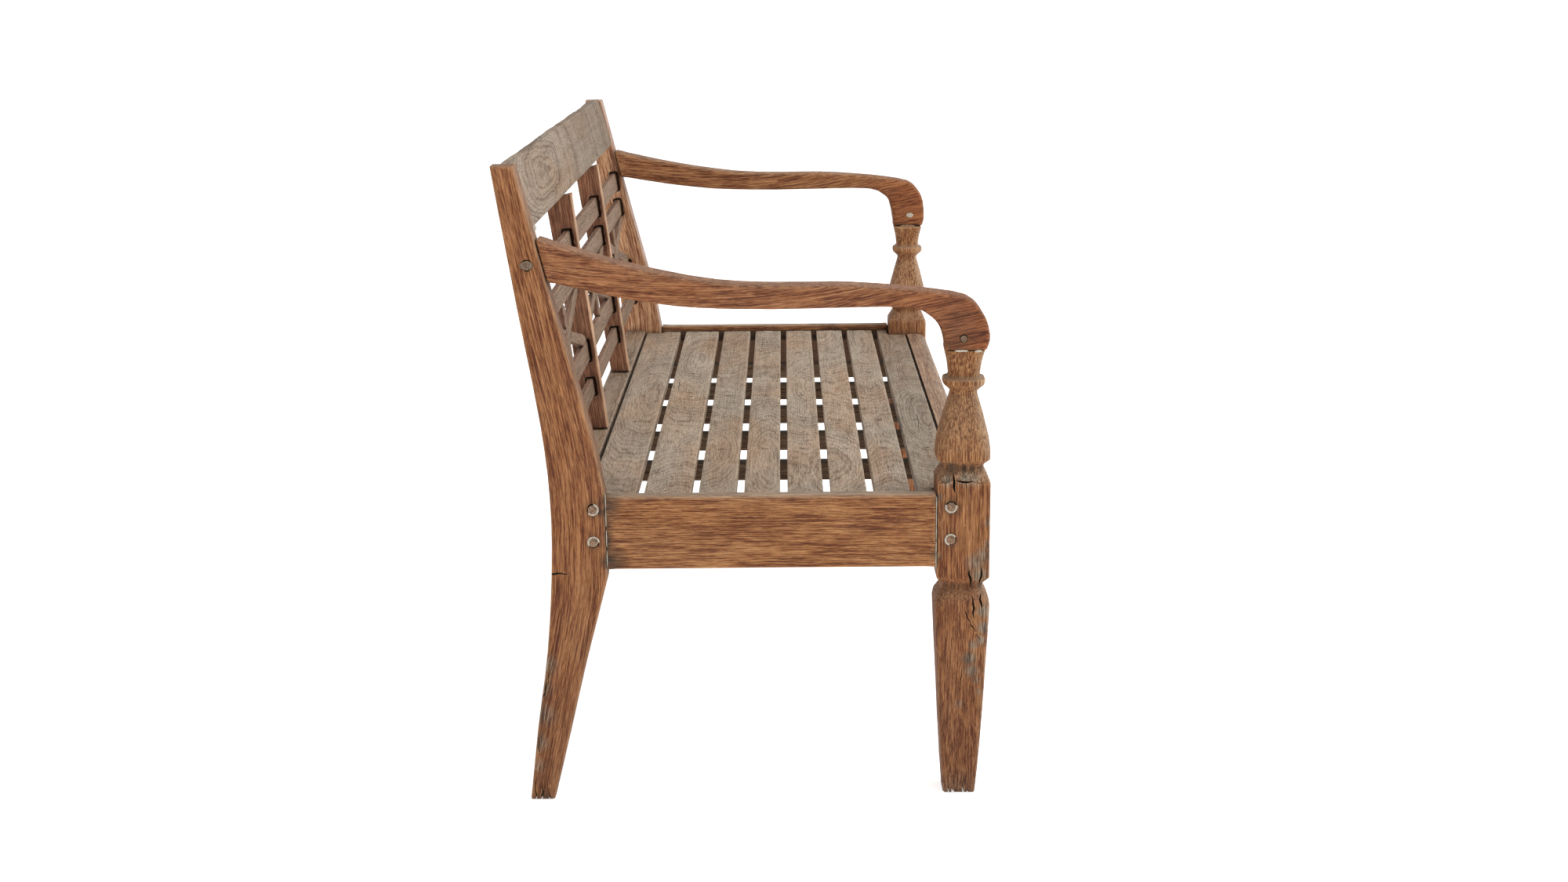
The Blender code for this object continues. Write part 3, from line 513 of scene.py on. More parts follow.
def weather(piece, grid, axis, number, turn=(0.0, 0.0, 0.0), depth=0.0014, rounds=3, joints=()):
    """Rebuild the piece as a fine grid, round its edges and let its surface wander, but not
    at its joints."""
    step = piece.modifiers.new("grid", "REMESH")
    step.mode = "VOXEL"
    step.voxel_size = grid
    apply_all(piece)
    crisp = points(piece)
    step = piece.modifiers.new("rounding", "SMOOTH")
    step.factor = 0.5
    step.iterations = rounds
    apply_all(piece)
    for long, short, share in WAVES:
        stretch = [short] * 3
        stretch[axis] = long
        sink(piece, stretch, turn, depth * share, number)
    free = np.ones(len(crisp))
    for joint in joints:
        free = np.minimum(free, joint(crisp))
    move(piece, crisp + (points(piece) - crisp) * free[:, None])
    return piece


print("weathering tools ready")

# %% [markdown]
# ## Splits and saw marks
#
# A drying split is a thin leaf-shaped gap that follows the grain, wide at the surface and closing
# inside. The cutter is a cube, cut into slices along its length; the slices are pinched towards
# the ends and pushed a little to and fro. A boolean takes it out of the piece.

# %% Blades that cut splits
BLADE_PROUD = 0.0035    # how far a blade stands out of the wood
BLADE_TIP = 0.18        # its width at the bottom of the split, as a share
BLADE_END = 0.06        # and at its two ends


def blade(start, end, width, depth, inward, number, open_start=False, wander=1.0):
    """A leaf-shaped cutter from start to end of a split, pointing into the wood."""
    start, end, inward = Vector(start), Vector(end), Vector(inward).normalized()
    length = (end - start).length
    along = (end - start).normalized()
    side = along.cross(inward).normalized()
    cutter = primitive("cube", "blade", size=1.0)
    for edge in cutter.data.edges:
        a, b = (cutter.data.vertices[k].co for k in edge.vertices)
        edge.select = abs(a.x - b.x) > 0.5
    with editing():
        bpy.ops.mesh.select_mode(type="EDGE")
        bpy.ops.mesh.subdivide(number_cuts=max(5, min(24, int(length / 0.006))))
    for vertex in cutter.data.vertices:
        share = vertex.co.x + 0.5
        pinch = math.sin(math.pi * (0.5 + share / 2 if open_start else share)) ** 0.7 if 0 < share < 1 \
            else (1.0 if open_start and share == 0 else 0.0)
        pinch = max(pinch, BLADE_END)
        off = wander * width * (math.sin(share * 9.0 + number) + 0.6 * math.sin(share * 23.0 + 2.0 * number))
        outer = vertex.co.z > 0
        half = vertex.co.y * width * pinch * (1.0 if outer else BLADE_TIP)
        vertex.co = (start + along * length * share + side * (half + off * (0.4 + pinch / 2) * 0.5)
                     + inward * (-BLADE_PROUD if outer else depth * pinch))
    # the cut faces of a split take the near-black painted shade
    cutter.data.materials.append(split_shade)
    return cutter


def cut(piece, cutters):
    """Take the cutters out of the piece, one after another."""
    for cutter in cutters:
        select_only(cutter)
        with editing(everything=True):
            bpy.ops.mesh.normals_make_consistent(inside=False)
    if len(cutters) > 1:
        join(cutters)
    subtract(piece, cutters[0], "MANIFOLD", "TRANSFER")


def cracks(face, zero, into, rows, wander=1.0):
    """Blades for splits in an end face. Each row: y and z of both ends, y counted from zero, then
    width, depth, number, and whether the split is open where it starts."""
    return [blade((face, zero + y1, z1), (face, zero + y2, z2), wide, deep, into, number, opens, wander)
            for y1, z1, y2, z2, wide, deep, number, opens in rows]


print("blades ready")


# %% Grain, dirt and wear
def write(piece, name, values, kind="FLOAT"):
    """Store a value, or three, at every point of the mesh."""
    made = piece.data.attributes.new(name, kind, "POINT")
    made.data.foreach_set("vector" if kind == "FLOAT_VECTOR" else "value",
                          np.ascontiguousarray(values, np.float32).ravel())


def near(places, spots):
    """How strongly each point is touched by spots, each a place, a reach and an amount."""
    touched = np.zeros(len(places))
    for x, y, z, reach, amount in spots:
        away = np.linalg.norm(places - (x, y, z), axis=1)
        touched = np.maximum(touched, amount * np.clip(1.35 * (1 - away / reach), 0, 1))
    return touched


def finish_piece(piece, node, slot, grain, number, dirt_and_shade=(), worn=(), lift=None, tint=(1.0, 1.0, 1.0)):
    """Write the attributes, give the finish, and let the piece stand for the joiner's one."""
    places = points(piece)
    write(piece, "lift", lift(places) if lift else np.zeros(len(places)))
    write(piece, "tint", np.broadcast_to(tint, places.shape), "FLOAT_VECTOR")
    directions = grain(places)
    directions[:, 0] += 4.7 * number
    write(piece, "grain", directions, "FLOAT_VECTOR")
    write(piece, "dirt_and_shade", near(places, dirt_and_shade))
    write(piece, "worn", near(places, worn))
    if piece.data.materials:
        piece.data.materials[0] = finishes[slot]
    else:
        piece.data.materials.append(finishes[slot])
    select_only(piece)
    bpy.ops.object.shade_smooth_by_angle(angle=math.radians(52))
    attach(piece, "root")
    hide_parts(node)


def board(low, high, long, wide):
    """Grain for a straight board: along one axis, across another, deep from its shown face."""
    deep = 3 - long - wide
    middle = (low[wide] + high[wide]) / 2

    def grain(places):
        return np.stack([places[:, long], places[:, wide] - middle,
                         -np.abs(places[:, deep] - high[deep])], 1)
    return grain


print("attributes ready")

# %% [markdown]
# ## Back legs
#
# Each back leg is one plank, sawn to a curve from foot to top. The grain follows the curve, so its
# middle line is measured from the piece itself, slice by slice. The right leg carries a saw mark
# on its back edge, a grey rotten strip lower down and a frayed foot.

# %% Back legs
SIDES = (("right", -1), ("left", 1))
end_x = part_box("back_leg_left")[1].x
SIDE_TENON = 0.042      # how far a side rail's tenons reach into the legs
LONG_TENON = 0.018      # and those of the front and rear rail
post_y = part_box("side_rail_right")[1].y - SIDE_TENON
block_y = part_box("side_rail_right")[0].y + SIDE_TENON
rail_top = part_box("side_rail_right")[1].z
rail_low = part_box("side_rail_right")[0].z
leg_low, leg_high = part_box("front_leg_right")
leg_y = (leg_low.y + leg_high.y) / 2
MUNTIN_LEAN = math.atan(0.124)
CREST_LEAN = math.atan(0.253)


def peg_shadow_spots(word, kind, reach, amount):
    """Painted shadow round the pegs of one leg."""
    spots = []
    for node in sorted(nodes):
        if node.startswith("peg_" + kind) and word in node:
            low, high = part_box(node)
            outer = low.x if word == "right" else high.x
            spots.append((outer, (low.y + high.y) / 2, (low.z + high.z) / 2, reach, amount))
    return spots


def curved_grain(piece):
    """Grain that follows a curved leg, measured slice by slice."""
    places = points(piece)
    heights = np.linspace(places[:, 2].min(), places[:, 2].max(), 30)
    middles = []
    for height in heights:
        slab = places[np.abs(places[:, 2] - height) < 0.018]
        middles.append((slab[:, 1].min() + slab[:, 1].max()) / 2)

    def grain(at):
        return np.stack([at[:, 2], at[:, 1] - np.interp(at[:, 2], heights, middles),
                         -np.abs(np.abs(at[:, 0]) - end_x)], 1)
    return grain


def pockets(piece, bars):
    """Widen the mortises where bars enter a piece from its right, as old loose joints are."""
    for bar in bars:
        low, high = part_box(bar)
        place = (high.x - 0.0035, (low.y + high.y) / 2 - 0.0011, (low.z + high.z) / 2 + 0.0010)
        cutter = primitive("cube", "pocket", size=1.0, location=place, rotation=(-MUNTIN_LEAN, 0.0, 0.0),
                           scale=(0.014, high.y - low.y + 0.0006, high.z - low.z + 0.0016))
        bake(cutter)
        with editing():
            bpy.ops.mesh.bevel(offset=0.0014, segments=2, affect="EDGES")
        subtract(piece, cutter, "EXACT")


for number, (word, side) in enumerate(SIDES):
    node = f"back_leg_{word}"
    piece = blank(node)
    if word == "left":
        pockets(piece, [f"bar_left_{k}" for k in (1, 2, 3, 4)])
    weather(piece, 0.0022, 2, number, turn=(0.10, 0.0, 0.0), depth=0.0008, rounds=1)
    into = (-side, 0.0, 0.0)
    face = side * end_x
    spread = points(piece)
    foot = spread[spread[:, 2] < 0.03, 1].max()
    cutters = cracks(face, foot, into, ((-0.0145, -0.004, -0.017, 0.034, 0.0030, 0.012, 1, True),
                                        (-0.0245, -0.004, -0.026, 0.022, 0.0026, 0.010, 2, True),
                                        (-0.006, -0.004, -0.008, 0.046, 0.0022, 0.012, 3, True)))
    if word == "right":
        cutters += cracks(face, post_y, into,
                          ((0.0775, 0.3243, 0.046, 0.3240, 0.0066, 0.0036, 4, True),), 0.2)
        cutters += cracks(face, foot, into, ((-0.013, 0.115, -0.030, 0.185, 0.0030, 0.005, 5, False),
                                             (-0.016, 0.060, -0.010, 0.110, 0.0026, 0.005, 6, False),
                                             (-0.024, 0.150, -0.036, 0.205, 0.0022, 0.004, 7, False)))
        cutters += cracks(face, post_y, into, ((0.058, 0.470, 0.076, 0.560, 0.0009, 0.003, 8, False),))
    cut(piece, cutters)
    rotten = ((0.028, 0.195, 0.020, 0.9), (0.020, 0.165, 0.020, 1.0), (0.020, 0.125, 0.022, 1.0),
              (0.013, 0.085, 0.018, 0.9), (0.012, 0.050, 0.014, 0.7)) if word == "right" else \
             ((0.02, 0.03, 0.04, 0.6),)
    worn = [(face, foot - back, z, reach, amount) for back, z, reach, amount in rotten]
    dirt_and_shade = peg_shadow_spots(word, "back_leg", 0.0155, 0.85) + peg_shadow_spots(word, "arm_rear", 0.010, 0.3)
    dirt_and_shade += [(face, post_y + d, rail_top - 0.0215, 0.008, 0.9) for d in (0.003, 0.007, 0.011)]
    dirt_and_shade += [(face, post_y, rail_low + 0.012, 0.014, 0.8), (face, post_y, rail_top - 0.006, 0.010, 0.8),
             (face, post_y, rail_low + 0.05, 0.006, 0.7), (face, foot - 0.018, 0.0, 0.016, 0.8)]
    finish_piece(piece, node, "leg", curved_grain(piece), number, dirt_and_shade, worn,
                 tint=(0.94, 0.86, 0.82) if word == "right" else (1.52, 1.80, 2.45))
    print(node, len(piece.data.polygons), "faces")

# %% [markdown]
# ## Front legs
#
# A front leg is carved from one square blank: a tapered foot, a neck, the block that takes the
# rails, and a baluster with a ring under the arm. Weather has opened it along the grain.

# %% Front legs
# splits in the right leg: y and z of both ends, width, depth; y is counted from the leg's middle
LEG_SPLITS = (
    (0.015, 0.4599, 0.012, 0.4286, 0.0042, 0.016), (0.0367, 0.4432, 0.0122, 0.4474, 0.0024, 0.004),
    (0.016, 0.4474, -0.016, 0.4445, 0.0048, 0.007), (-0.0118, 0.4449, -0.035, 0.4436, 0.0021, 0.003),
    (-0.0075, 0.329, -0.0118, 0.2919, 0.0042, 0.014), (-0.0118, 0.2945, -0.0157, 0.254, 0.0039, 0.007),
    (-0.0243, 0.332, -0.0222, 0.2945, 0.0036, 0.014), (-0.0222, 0.2975, -0.0258, 0.27, 0.0048, 0.008),
    (-0.0017, 0.271, -0.0115, 0.248, 0.003, 0.004), (-0.009, 0.254, -0.018, 0.2367, 0.0033, 0.004),
    (-0.0175, 0.238, -0.0262, 0.2215, 0.0027, 0.004), (-0.015, 0.2215, -0.0108, 0.1965, 0.0024, 0.004),
    (-0.023, 0.162, -0.0248, 0.139, 0.0033, 0.005), (0.0001, 0.1925, 0.0009, 0.1465, 0.00315, 0.008),
    (0.022, 0.3, 0.0216, 0.25, 0.0015, 0.003), (0.012, 0.235, 0.011, 0.17, 0.0015, 0.003),
    (0.0115, 0.135, 0.0105, 0.05, 0.0015, 0.003), (-0.002, 0.125, -0.003, 0.042, 0.0015, 0.003),
    (-0.012, 0.13, -0.0126, 0.052, 0.0018, 0.003), (-0.008, 0.425, -0.009, 0.38, 0.0015, 0.003),
    (-0.02, 0.41, -0.0204, 0.35, 0.0018, 0.004), (0.0, 0.395, -0.001, 0.35, 0.0015, 0.003))
# grey rotten spots on it: y, z, reach
LEG_ROT = (
    (-0.028, 0.268, 0.012), (-0.0296, 0.244, 0.012), (-0.025, 0.226, 0.009), (-0.015, 0.219, 0.009),
    (-0.0108, 0.200, 0.013), (-0.014, 0.182, 0.013), (-0.020, 0.168, 0.009), (-0.024, 0.151, 0.009),
    (-0.016, 0.335, 0.017), (-0.026, 0.345, 0.014), (-0.021, 0.318, 0.016), (-0.028, 0.298, 0.013),
    (-0.001, 0.451, 0.014), (-0.016, 0.451, 0.014), (0.022, 0.449, 0.012), (-0.034, 0.390, 0.009),
    (-0.034, 0.360, 0.009), (0.036, 0.345, 0.009), (0.036, 0.425, 0.009), (0.002, 0.134, 0.010))

for number, (word, side) in enumerate(SIDES, 2):
    node = f"front_leg_{word}"
    piece = weather(blank(node), 0.0017 if word == "right" else 0.0024, 2, number,
                    depth=0.0010, rounds=1,
                    joints=[away_from(2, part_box(node)[1].z, 0.006)])
    into = (-side, 0.0, 0.0)
    face = side * end_x
    low = side * (end_x - 0.0135)
    cutters = cracks(low, leg_y, into, ((0.0088, -0.006, 0.0086, 0.0075, 0.0060, 0.030, 1, True),
                                        (-0.0130, -0.006, -0.0128, 0.0060, 0.0042, 0.030, 2, True),
                                        (-0.0050, -0.004, -0.0045, 0.022, 0.0022, 0.020, 3, True),
                                        (0.0150, -0.004, 0.0140, 0.018, 0.0024, 0.020, 4, True)))
    if word == "right":
        rows = [(*row, number, False) for number, row in enumerate(LEG_SPLITS, 5)]
        cutters += cracks(face, leg_y, into, rows, 0.5)
    cut(piece, cutters)
    worn = [(face, leg_y + y, z, reach, 1.0) for y, z, reach in LEG_ROT] if word == "right" else []
    worn += [(low, leg_y, 0.0, 0.04, 0.5)]
    neck = face - side * 0.009
    dirt_and_shade = peg_shadow_spots(word, "front_leg", 0.0155, 0.85)
    dirt_and_shade += [(neck, leg_y + d, rail_top + 0.0325, 0.008, 0.9) for d in (-0.022, -0.011, 0.0, 0.011, 0.022)]
    dirt_and_shade += [(face - side * 0.006, leg_y + 0.017, rail_top + 0.0330, 0.014, 1.0)]
    dirt_and_shade += [(neck, leg_y + d, rail_low - 0.028, 0.009, 0.8) for d in (-0.024, -0.012, 0.0, 0.012, 0.024)]
    dirt_and_shade += [(face, leg_y + 0.035, z, 0.007, 0.7) for z in (0.34, 0.37, 0.40, 0.425)]

    def grain(at, side=side):
        return np.stack([at[:, 2], at[:, 1] - leg_y, -np.abs(np.abs(at[:, 0]) - end_x)], 1)

    tint = np.stack([np.interp(points(piece)[:, 2], (0.15, 0.38, 0.52), shades)
                     for shades in ((0.88, 0.95, 1.05), (0.79, 0.89, 1.12), (0.72, 0.84, 1.12))], 1)
    finish_piece(piece, node, "leg", grain, number, dirt_and_shade, worn,
                 tint=tint if word == "right" else tint * (1.10, 1.12, 1.20))
    print(node, len(piece.data.polygons), "faces")

# %% [markdown]
# ## Rails and battens
#
# The side rails show their clean outer face, with straight stripes along them and a few old knife
# nicks. Their tops are as grey as the seat. The battens under the slats are painted dark as shade.

# %% Rails
for number, (word, side) in enumerate(SIDES, 4):
    node = f"side_rail_{word}"
    low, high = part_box(node)
    piece = weather(blank(node), 0.0022, 1, number, depth=0.0007, rounds=1,
                    joints=[away_from(1, block_y, 0.010), away_from(1, post_y, 0.010)])
    face = low.x if side < 0 else high.x
    if word == "right":
        nicks = [(-0.026, 0.416, 0.006, 0), (-0.030, 0.397, 0.004, 1), (-0.055, 0.399, 0.004, 0),
                 (-0.092, 0.408, 0.005, 1), (-0.093, 0.402, 0.006, 0), (-0.102, 0.409, 0.004, 1),
                 (-0.150, 0.402, 0.005, 0), (-0.158, 0.401, 0.006, 1), (-0.160, 0.414, 0.005, 1),
                 (-0.096, 0.386, 0.004, 1), (-0.045, 0.350, 0.008, 1)]
        cutters = []
        for k, (y, z, long, upright) in enumerate(nicks):
            tip = (face, y, z + long) if upright else (face, y - long, z + 0.0008)
            cutters.append(blade((face, y, z), tip, 0.0012, 0.0016, (1, 0, 0), k, wander=0.3))
        cut(piece, cutters)
    dirt_and_shade = [(face, post_y, low.z + 0.006, 0.034, 1.0), (face, post_y, high.z - 0.012, 0.026, 1.0),
            (face, block_y, low.z + 0.020, 0.012, 0.8), (face, block_y, high.z - 0.008, 0.010, 0.8)]
    dirt_and_shade += [(face, post_y, low.z + d, 0.010, 0.9) for d in (0.03, 0.04, 0.05, 0.06, 0.07)]
    if word == "left":
        dirt_and_shade += [(0.61, y, high.z, 0.016, 0.7) for y in (-0.105, -0.120, -0.140)]
    finish_piece(piece, node, "rail", board(low, high, 1, 2), number, dirt_and_shade, tint=(1.0, 0.98, 0.93))

for number, (node, slot) in enumerate((("front_rail", "front_rail"), ("rear_rail", "slat")), 6):
    low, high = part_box(node)
    piece = weather(blank(node), 0.0028, 0, number, depth=0.0008, rounds=1,
                    joints=ends(0, low, high, 0.010, LONG_TENON))
    finish_piece(piece, node, slot, board(low, high, 0, 1), number,
                 [(x * end_x, (low.y + high.y) / 2, high.z, 0.05, 0.4) for x in (-0.95, 0.95)],
                 tint=(0.75, 0.71, 0.66) if node == "rear_rail" else (1.0, 1.0, 1.0))

battens = sorted(node for node in nodes if node.startswith("batten"))
batten_x = [(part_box(node)[0].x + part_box(node)[1].x) / 2 for node in battens]
for number, node in enumerate(battens, 8):
    piece = weather(blank(node), 0.0022, 1, number, depth=0.0005, rounds=1)
    finish_piece(piece, node, "batten", board(*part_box(node), 1, 0), number)
print("rails and", len(battens), "battens")

# %% [markdown]
# ## Slats
#
# Eight boards, each from another part of the tree. They are flatsawn, so their figure is arches
# and ovals, and the last one, at the front, has split along its rings.

# %% Slats
DOWN = (0.0, 0.0, -1.0)
# how pale each slat is, from the rear to the front
SLAT_PALER = (1.05, 1.13, 1.02, 1.06, 1.10, 1.13, 1.02, 0.80)
slats = sorted(node for node in nodes if node.startswith("slat"))
for number, node in enumerate(slats, 14):
    low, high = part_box(node)
    piece = weather(blank(node), 0.0023, 0, number, depth=0.0007, rounds=1)
    span = high.y - low.y
    k = number - 14
    cutters = [blade((-0.604, low.y + span * (0.3 + 0.05 * k), high.z),
                     (-0.570 + 0.006 * k, low.y + span * (0.32 + 0.05 * k), high.z),
                     0.0012, 0.012, DOWN, k, True)]
    if k == 0:
        cutters.append(blade((-0.30, high.y - 0.004, high.z), (-0.10, high.y - 0.006, high.z),
                             0.0010, 0.006, DOWN, 3))
    if k == 1:
        cutters.append(blade((0.17, high.y - 0.010, high.z), (0.04, high.y - 0.016, high.z),
                             0.0016, 0.008, DOWN, 5))
    if k == 7:
        ring_splits = ((-0.28, 0.55, 0.42, 0.22), (0.02, 0.35, 0.55, 0.26), (0.10, 0.70, 0.62, 0.20))
        for j, (x, start, end, long) in enumerate(ring_splits):
            cutters.append(blade((x, low.y + span * start, high.z), (x + long, low.y + span * end, high.z),
                                 0.0015, 0.005, DOWN, j))
    cut(piece, cutters)
    dirt_and_shade = [(x, (low.y + high.y) / 2, high.z, 0.006, 0.7) for x in batten_x]
    dirt_and_shade += [(x, low.y + span * s, high.z, 0.012, 0.5) for x in (-0.60, 0.60) for s in (0.2, 0.8)]

    def arches(at, k=k):
        """Where the tree's middle comes near the face, the figure closes into ovals."""
        return 0.045 * (1 - np.cos((at[:, 0] - 0.31 * k) * (4.6 + 0.9 * (k % 3)))) + 0.012 * (k % 3)

    straight = board(low, high, 0, 1)

    def grain(at, straight=straight, k=k):
        """A board's grain, with the tree's middle to one side of it."""
        found = straight(at)
        found[:, 1] += 0.020 * math.sin(2.0 * k + 0.7)
        return found

    finish_piece(piece, node, "slat", grain, number, dirt_and_shade, lift=arches,
                 tint=[SLAT_PALER[k] * c for c in (1.01, 1.04, 1.04)])
print(len(slats), "slats")

# %% [markdown]
# ## Arms
#
# The arms are sawn from reddish planks and rubbed smooth by hands. Their grain runs straight
# through the plank: it rises a little towards the back leg and dips at the nose.

# %% Arms
def post_end(word):
    """Where an arm meets the front of its back leg."""
    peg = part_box(f"peg_arm_rear_{word}")
    return (peg[0].y + peg[1].y) / 2 - 0.020


for number, (word, side) in enumerate(SIDES, 22):
    node = f"arm_{word}"
    low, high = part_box(node)
    face = low.x if side < 0 else high.x
    piece = weather(blank(node), 0.0020, 1, number, depth=0.0010, rounds=3,
                    joints=[away_from(1, post_end(word), 0.012), away_from(2, low.z, 0.004)])
    joint = low.z
    into = (-side, 0.0, 0.0)
    cut(piece, cracks(face, low.y, into, (
        (0.018, joint + 0.048, 0.060, joint + 0.054, 0.0008, 0.003, 1, False),
        (0.150, high.z - 0.086, 0.270, high.z - 0.080, 0.0007, 0.002, 2, False),
        (0.380, high.z - 0.050, 0.450, high.z - 0.038, 0.0008, 0.003, 3, False))))

    def grain(at, low=low, high=high, face=face):
        share = np.clip((at[:, 1] - low.y - 0.20) / 0.36, 0, 1.3)
        lift = 0.066 * share ** 1.8 - 0.20 * (at[:, 1] - low.y)
        return np.stack([at[:, 1], at[:, 2] - low.z - lift, -np.abs(at[:, 0] - face)], 1)

    dirt_and_shade = peg_shadow_spots(word, "arm_front", 0.009, 0.5)
    dirt_and_shade += [(face, leg_y + d, joint, 0.006, 0.8) for d in (-0.02, -0.01, 0.0, 0.01, 0.02)]
    dirt_and_shade += [(face, leg_y + 0.01, joint + 0.03, 0.045, 0.35)]
    nose = np.clip(1 - (points(piece)[:, 1] - low.y) / 0.16, 0, 1)[:, None]
    tint = 1 - nose * (0.15, 0.38, 0.54)
    finish_piece(piece, node, "arm", grain, number, dirt_and_shade,
                 tint=tint if word == "right" else tint * (1.12, 1.2, 1.2))
print("two arms")

# %% [markdown]
# ## Top rail
#
# The top rail leans back with the legs. Its top edge has been rubbed into slow waves, it is
# rounded off where it meets the right leg, and an oval of grain lies near that end.

# %% Top rail
node = "top_rail"
low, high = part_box(node)


def above_foot(places):
    """How far a point is above the lower edge of the top rail, as a share of 12 mm."""
    up = (places[:, 2] - low.z) * math.cos(CREST_LEAN) + (places[:, 1] - low.y) * math.sin(CREST_LEAN)
    return np.clip(up / 0.012 - 0.4, 0, 1)


piece = weather(blank(node), 0.0026, 0, 24, turn=(-CREST_LEAN, 0.0, 0.0), depth=0.0016,
                joints=[above_foot, *ends(0, low, high, 0.008)])
straight = points(piece)
sink(piece, (0.13, 0.13, 0.05), (0.0, 0.0, 0.0), 0.0050, 5)
places = points(piece)
top_share = np.clip((places[:, 2] - (high.z - 0.035)) / 0.035, 0, 1)
near_end = np.clip((-places[:, 0] - 0.535) / 0.055, 0, 1)
places = straight + (places - straight) * (top_share * (1 - near_end))[:, None]
places[:, 2] -= 0.006 * top_share * near_end ** 2
move(piece, places)


def on_crest(x, up):
    """A place on the front face of the top rail: along it, and up from its lower edge."""
    return (x, low.y + up * math.sin(CREST_LEAN), low.z + 0.004 + up * math.cos(CREST_LEAN))


inward = (0.0, math.cos(CREST_LEAN), -math.sin(CREST_LEAN))
cut(piece, [blade(on_crest(-0.548, 0.052), on_crest(-0.556, 0.068), 0.0016, 0.005, inward, 1),
            blade(on_crest(-0.520, 0.030), on_crest(-0.524, 0.044), 0.0012, 0.004, inward, 2),
            blade(on_crest(-0.225, -0.003), on_crest(-0.228, 0.040), 0.0020, 0.006, inward, 3, True),
            blade(on_crest(-0.226, 0.042), on_crest(-0.222, 0.080), 0.0008, 0.003, inward, 4),
            blade(on_crest(0.480, 0.060), on_crest(0.510, 0.078), 0.0014, 0.004, inward, 5)])


def crest_grain(at):
    up = (at[:, 2] - (low.z + high.z) / 2) * math.cos(CREST_LEAN) + (at[:, 1] - (low.y + high.y) / 2) \
        * math.sin(CREST_LEAN)
    deep = (at[:, 1] - low.y) * math.cos(CREST_LEAN) - (at[:, 2] - low.z) * math.sin(CREST_LEAN)
    return np.stack([at[:, 0], up, -deep], 1)


def crest_lift(at):
    """The tree's middle comes nearest to the face at one place, and ovals lie round it."""
    return 0.55 * (at[:, 0] + 0.415) ** 2 + 0.010 * np.sin(9.0 * at[:, 0])


finish_piece(piece, node, "crest", crest_grain, 24,
             [(-0.588, low.y + 0.012, z, 0.010, 0.7) for z in (0.79, 0.81, 0.83, 0.85)]
             + [(-0.225, low.y, low.z, 0.012, 0.8)], lift=crest_lift,
             tint=1.0 - np.clip((points(piece)[:, :1] + 0.3) / 0.7, 0, 1) * (0.20, 0.18, 0.17))
print("top rail", len(piece.data.polygons), "faces")

# %% [markdown]
# ## The back: uprights and lattice
#
# Two uprights carry the lattice. The bars enter them through mortises that have worn wide, so a
# dark gap shows above and in front of each bar's end.

# %% Uprights and lattice
def leaning_grain(long_up, low, high):
    """Grain for a piece of the leaning back, upright or across."""
    def grain(at):
        over = at[:, 1] - math.tan(MUNTIN_LEAN) * (at[:, 2] - low.z) - low.y
        if long_up:
            return np.stack([at[:, 2], over - 0.015, -np.abs(at[:, 0] - low.x)], 1)
        return np.stack([at[:, 0], at[:, 2] - (low.z + high.z) / 2, -over], 1)
    return grain


for number, (word, bay) in enumerate((("right", "right"), ("left", "middle")), 25):
    node = f"muntin_{word}"
    low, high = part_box(node)
    piece = blank(node)
    pockets(piece, [f"bar_{bay}_{k}" for k in (1, 2, 3, 4)])
    weather(piece, 0.0017, 2, number, turn=(MUNTIN_LEAN, 0.0, 0.0), depth=0.0013, rounds=1,
            joints=[away_from(2, low.z, 0.008), away_from(2, high.z, 0.016)])
    spots = [(low.x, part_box(f"bar_{bay}_{k}")[0].y + 0.006, (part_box(f"bar_{bay}_{k}")[0].z
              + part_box(f"bar_{bay}_{k}")[1].z) / 2, 0.030, 0.55) for k in (1, 2, 3, 4)]
    finish_piece(piece, node, "muntin", leaning_grain(True, low, high), number, spots, tint=(1.10, 1.0, 0.88))

lattice = sorted(node for node in nodes if node.startswith(("bar_", "stub_", "brace_")))
for number, node in enumerate(lattice, 27):
    low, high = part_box(node)
    piece = blank(node)
    upright = node.startswith("stub")
    weather(piece, 0.0021, 2 if upright else 0, number, turn=(MUNTIN_LEAN, 0.0, 0.0), depth=0.0012, rounds=1,
            joints=ends(0, low, high, 0.008) if node.startswith("bar") else ends(2, low, high, 0.006))
    if node.startswith("brace"):
        tilt = math.copysign(math.atan2(high.z - low.z, high.x - low.x), 1 if "rising" in node else -1)
        middle_x, middle_z = (low.x + high.x) / 2, (low.z + high.z) / 2

        def grain(at, tilt=tilt, middle_x=middle_x, middle_z=middle_z, low=low):
            x, z = at[:, 0] - middle_x, at[:, 2] - middle_z
            over = at[:, 1] - math.tan(MUNTIN_LEAN) * (at[:, 2] - low.z) - low.y
            return np.stack([x * math.cos(tilt) + z * math.sin(tilt), z * math.cos(tilt) - x * math.sin(tilt),
                             -over], 1)
    else:
        grain = leaning_grain(upright, low, high)
    finish_piece(piece, node, "lattice", grain, number, tint=(0.90, 0.84, 0.79))
print(len(lattice), "lattice pieces")

# %% [markdown]
# ## Pegs, putty and nails
#
# A peg is whittled from a stick: eight or nine flat sides and a slightly hollowed head. The gaps
# round it, and the joints beside it, were stopped with putty. Iron nails hold the slats to the
# battens.

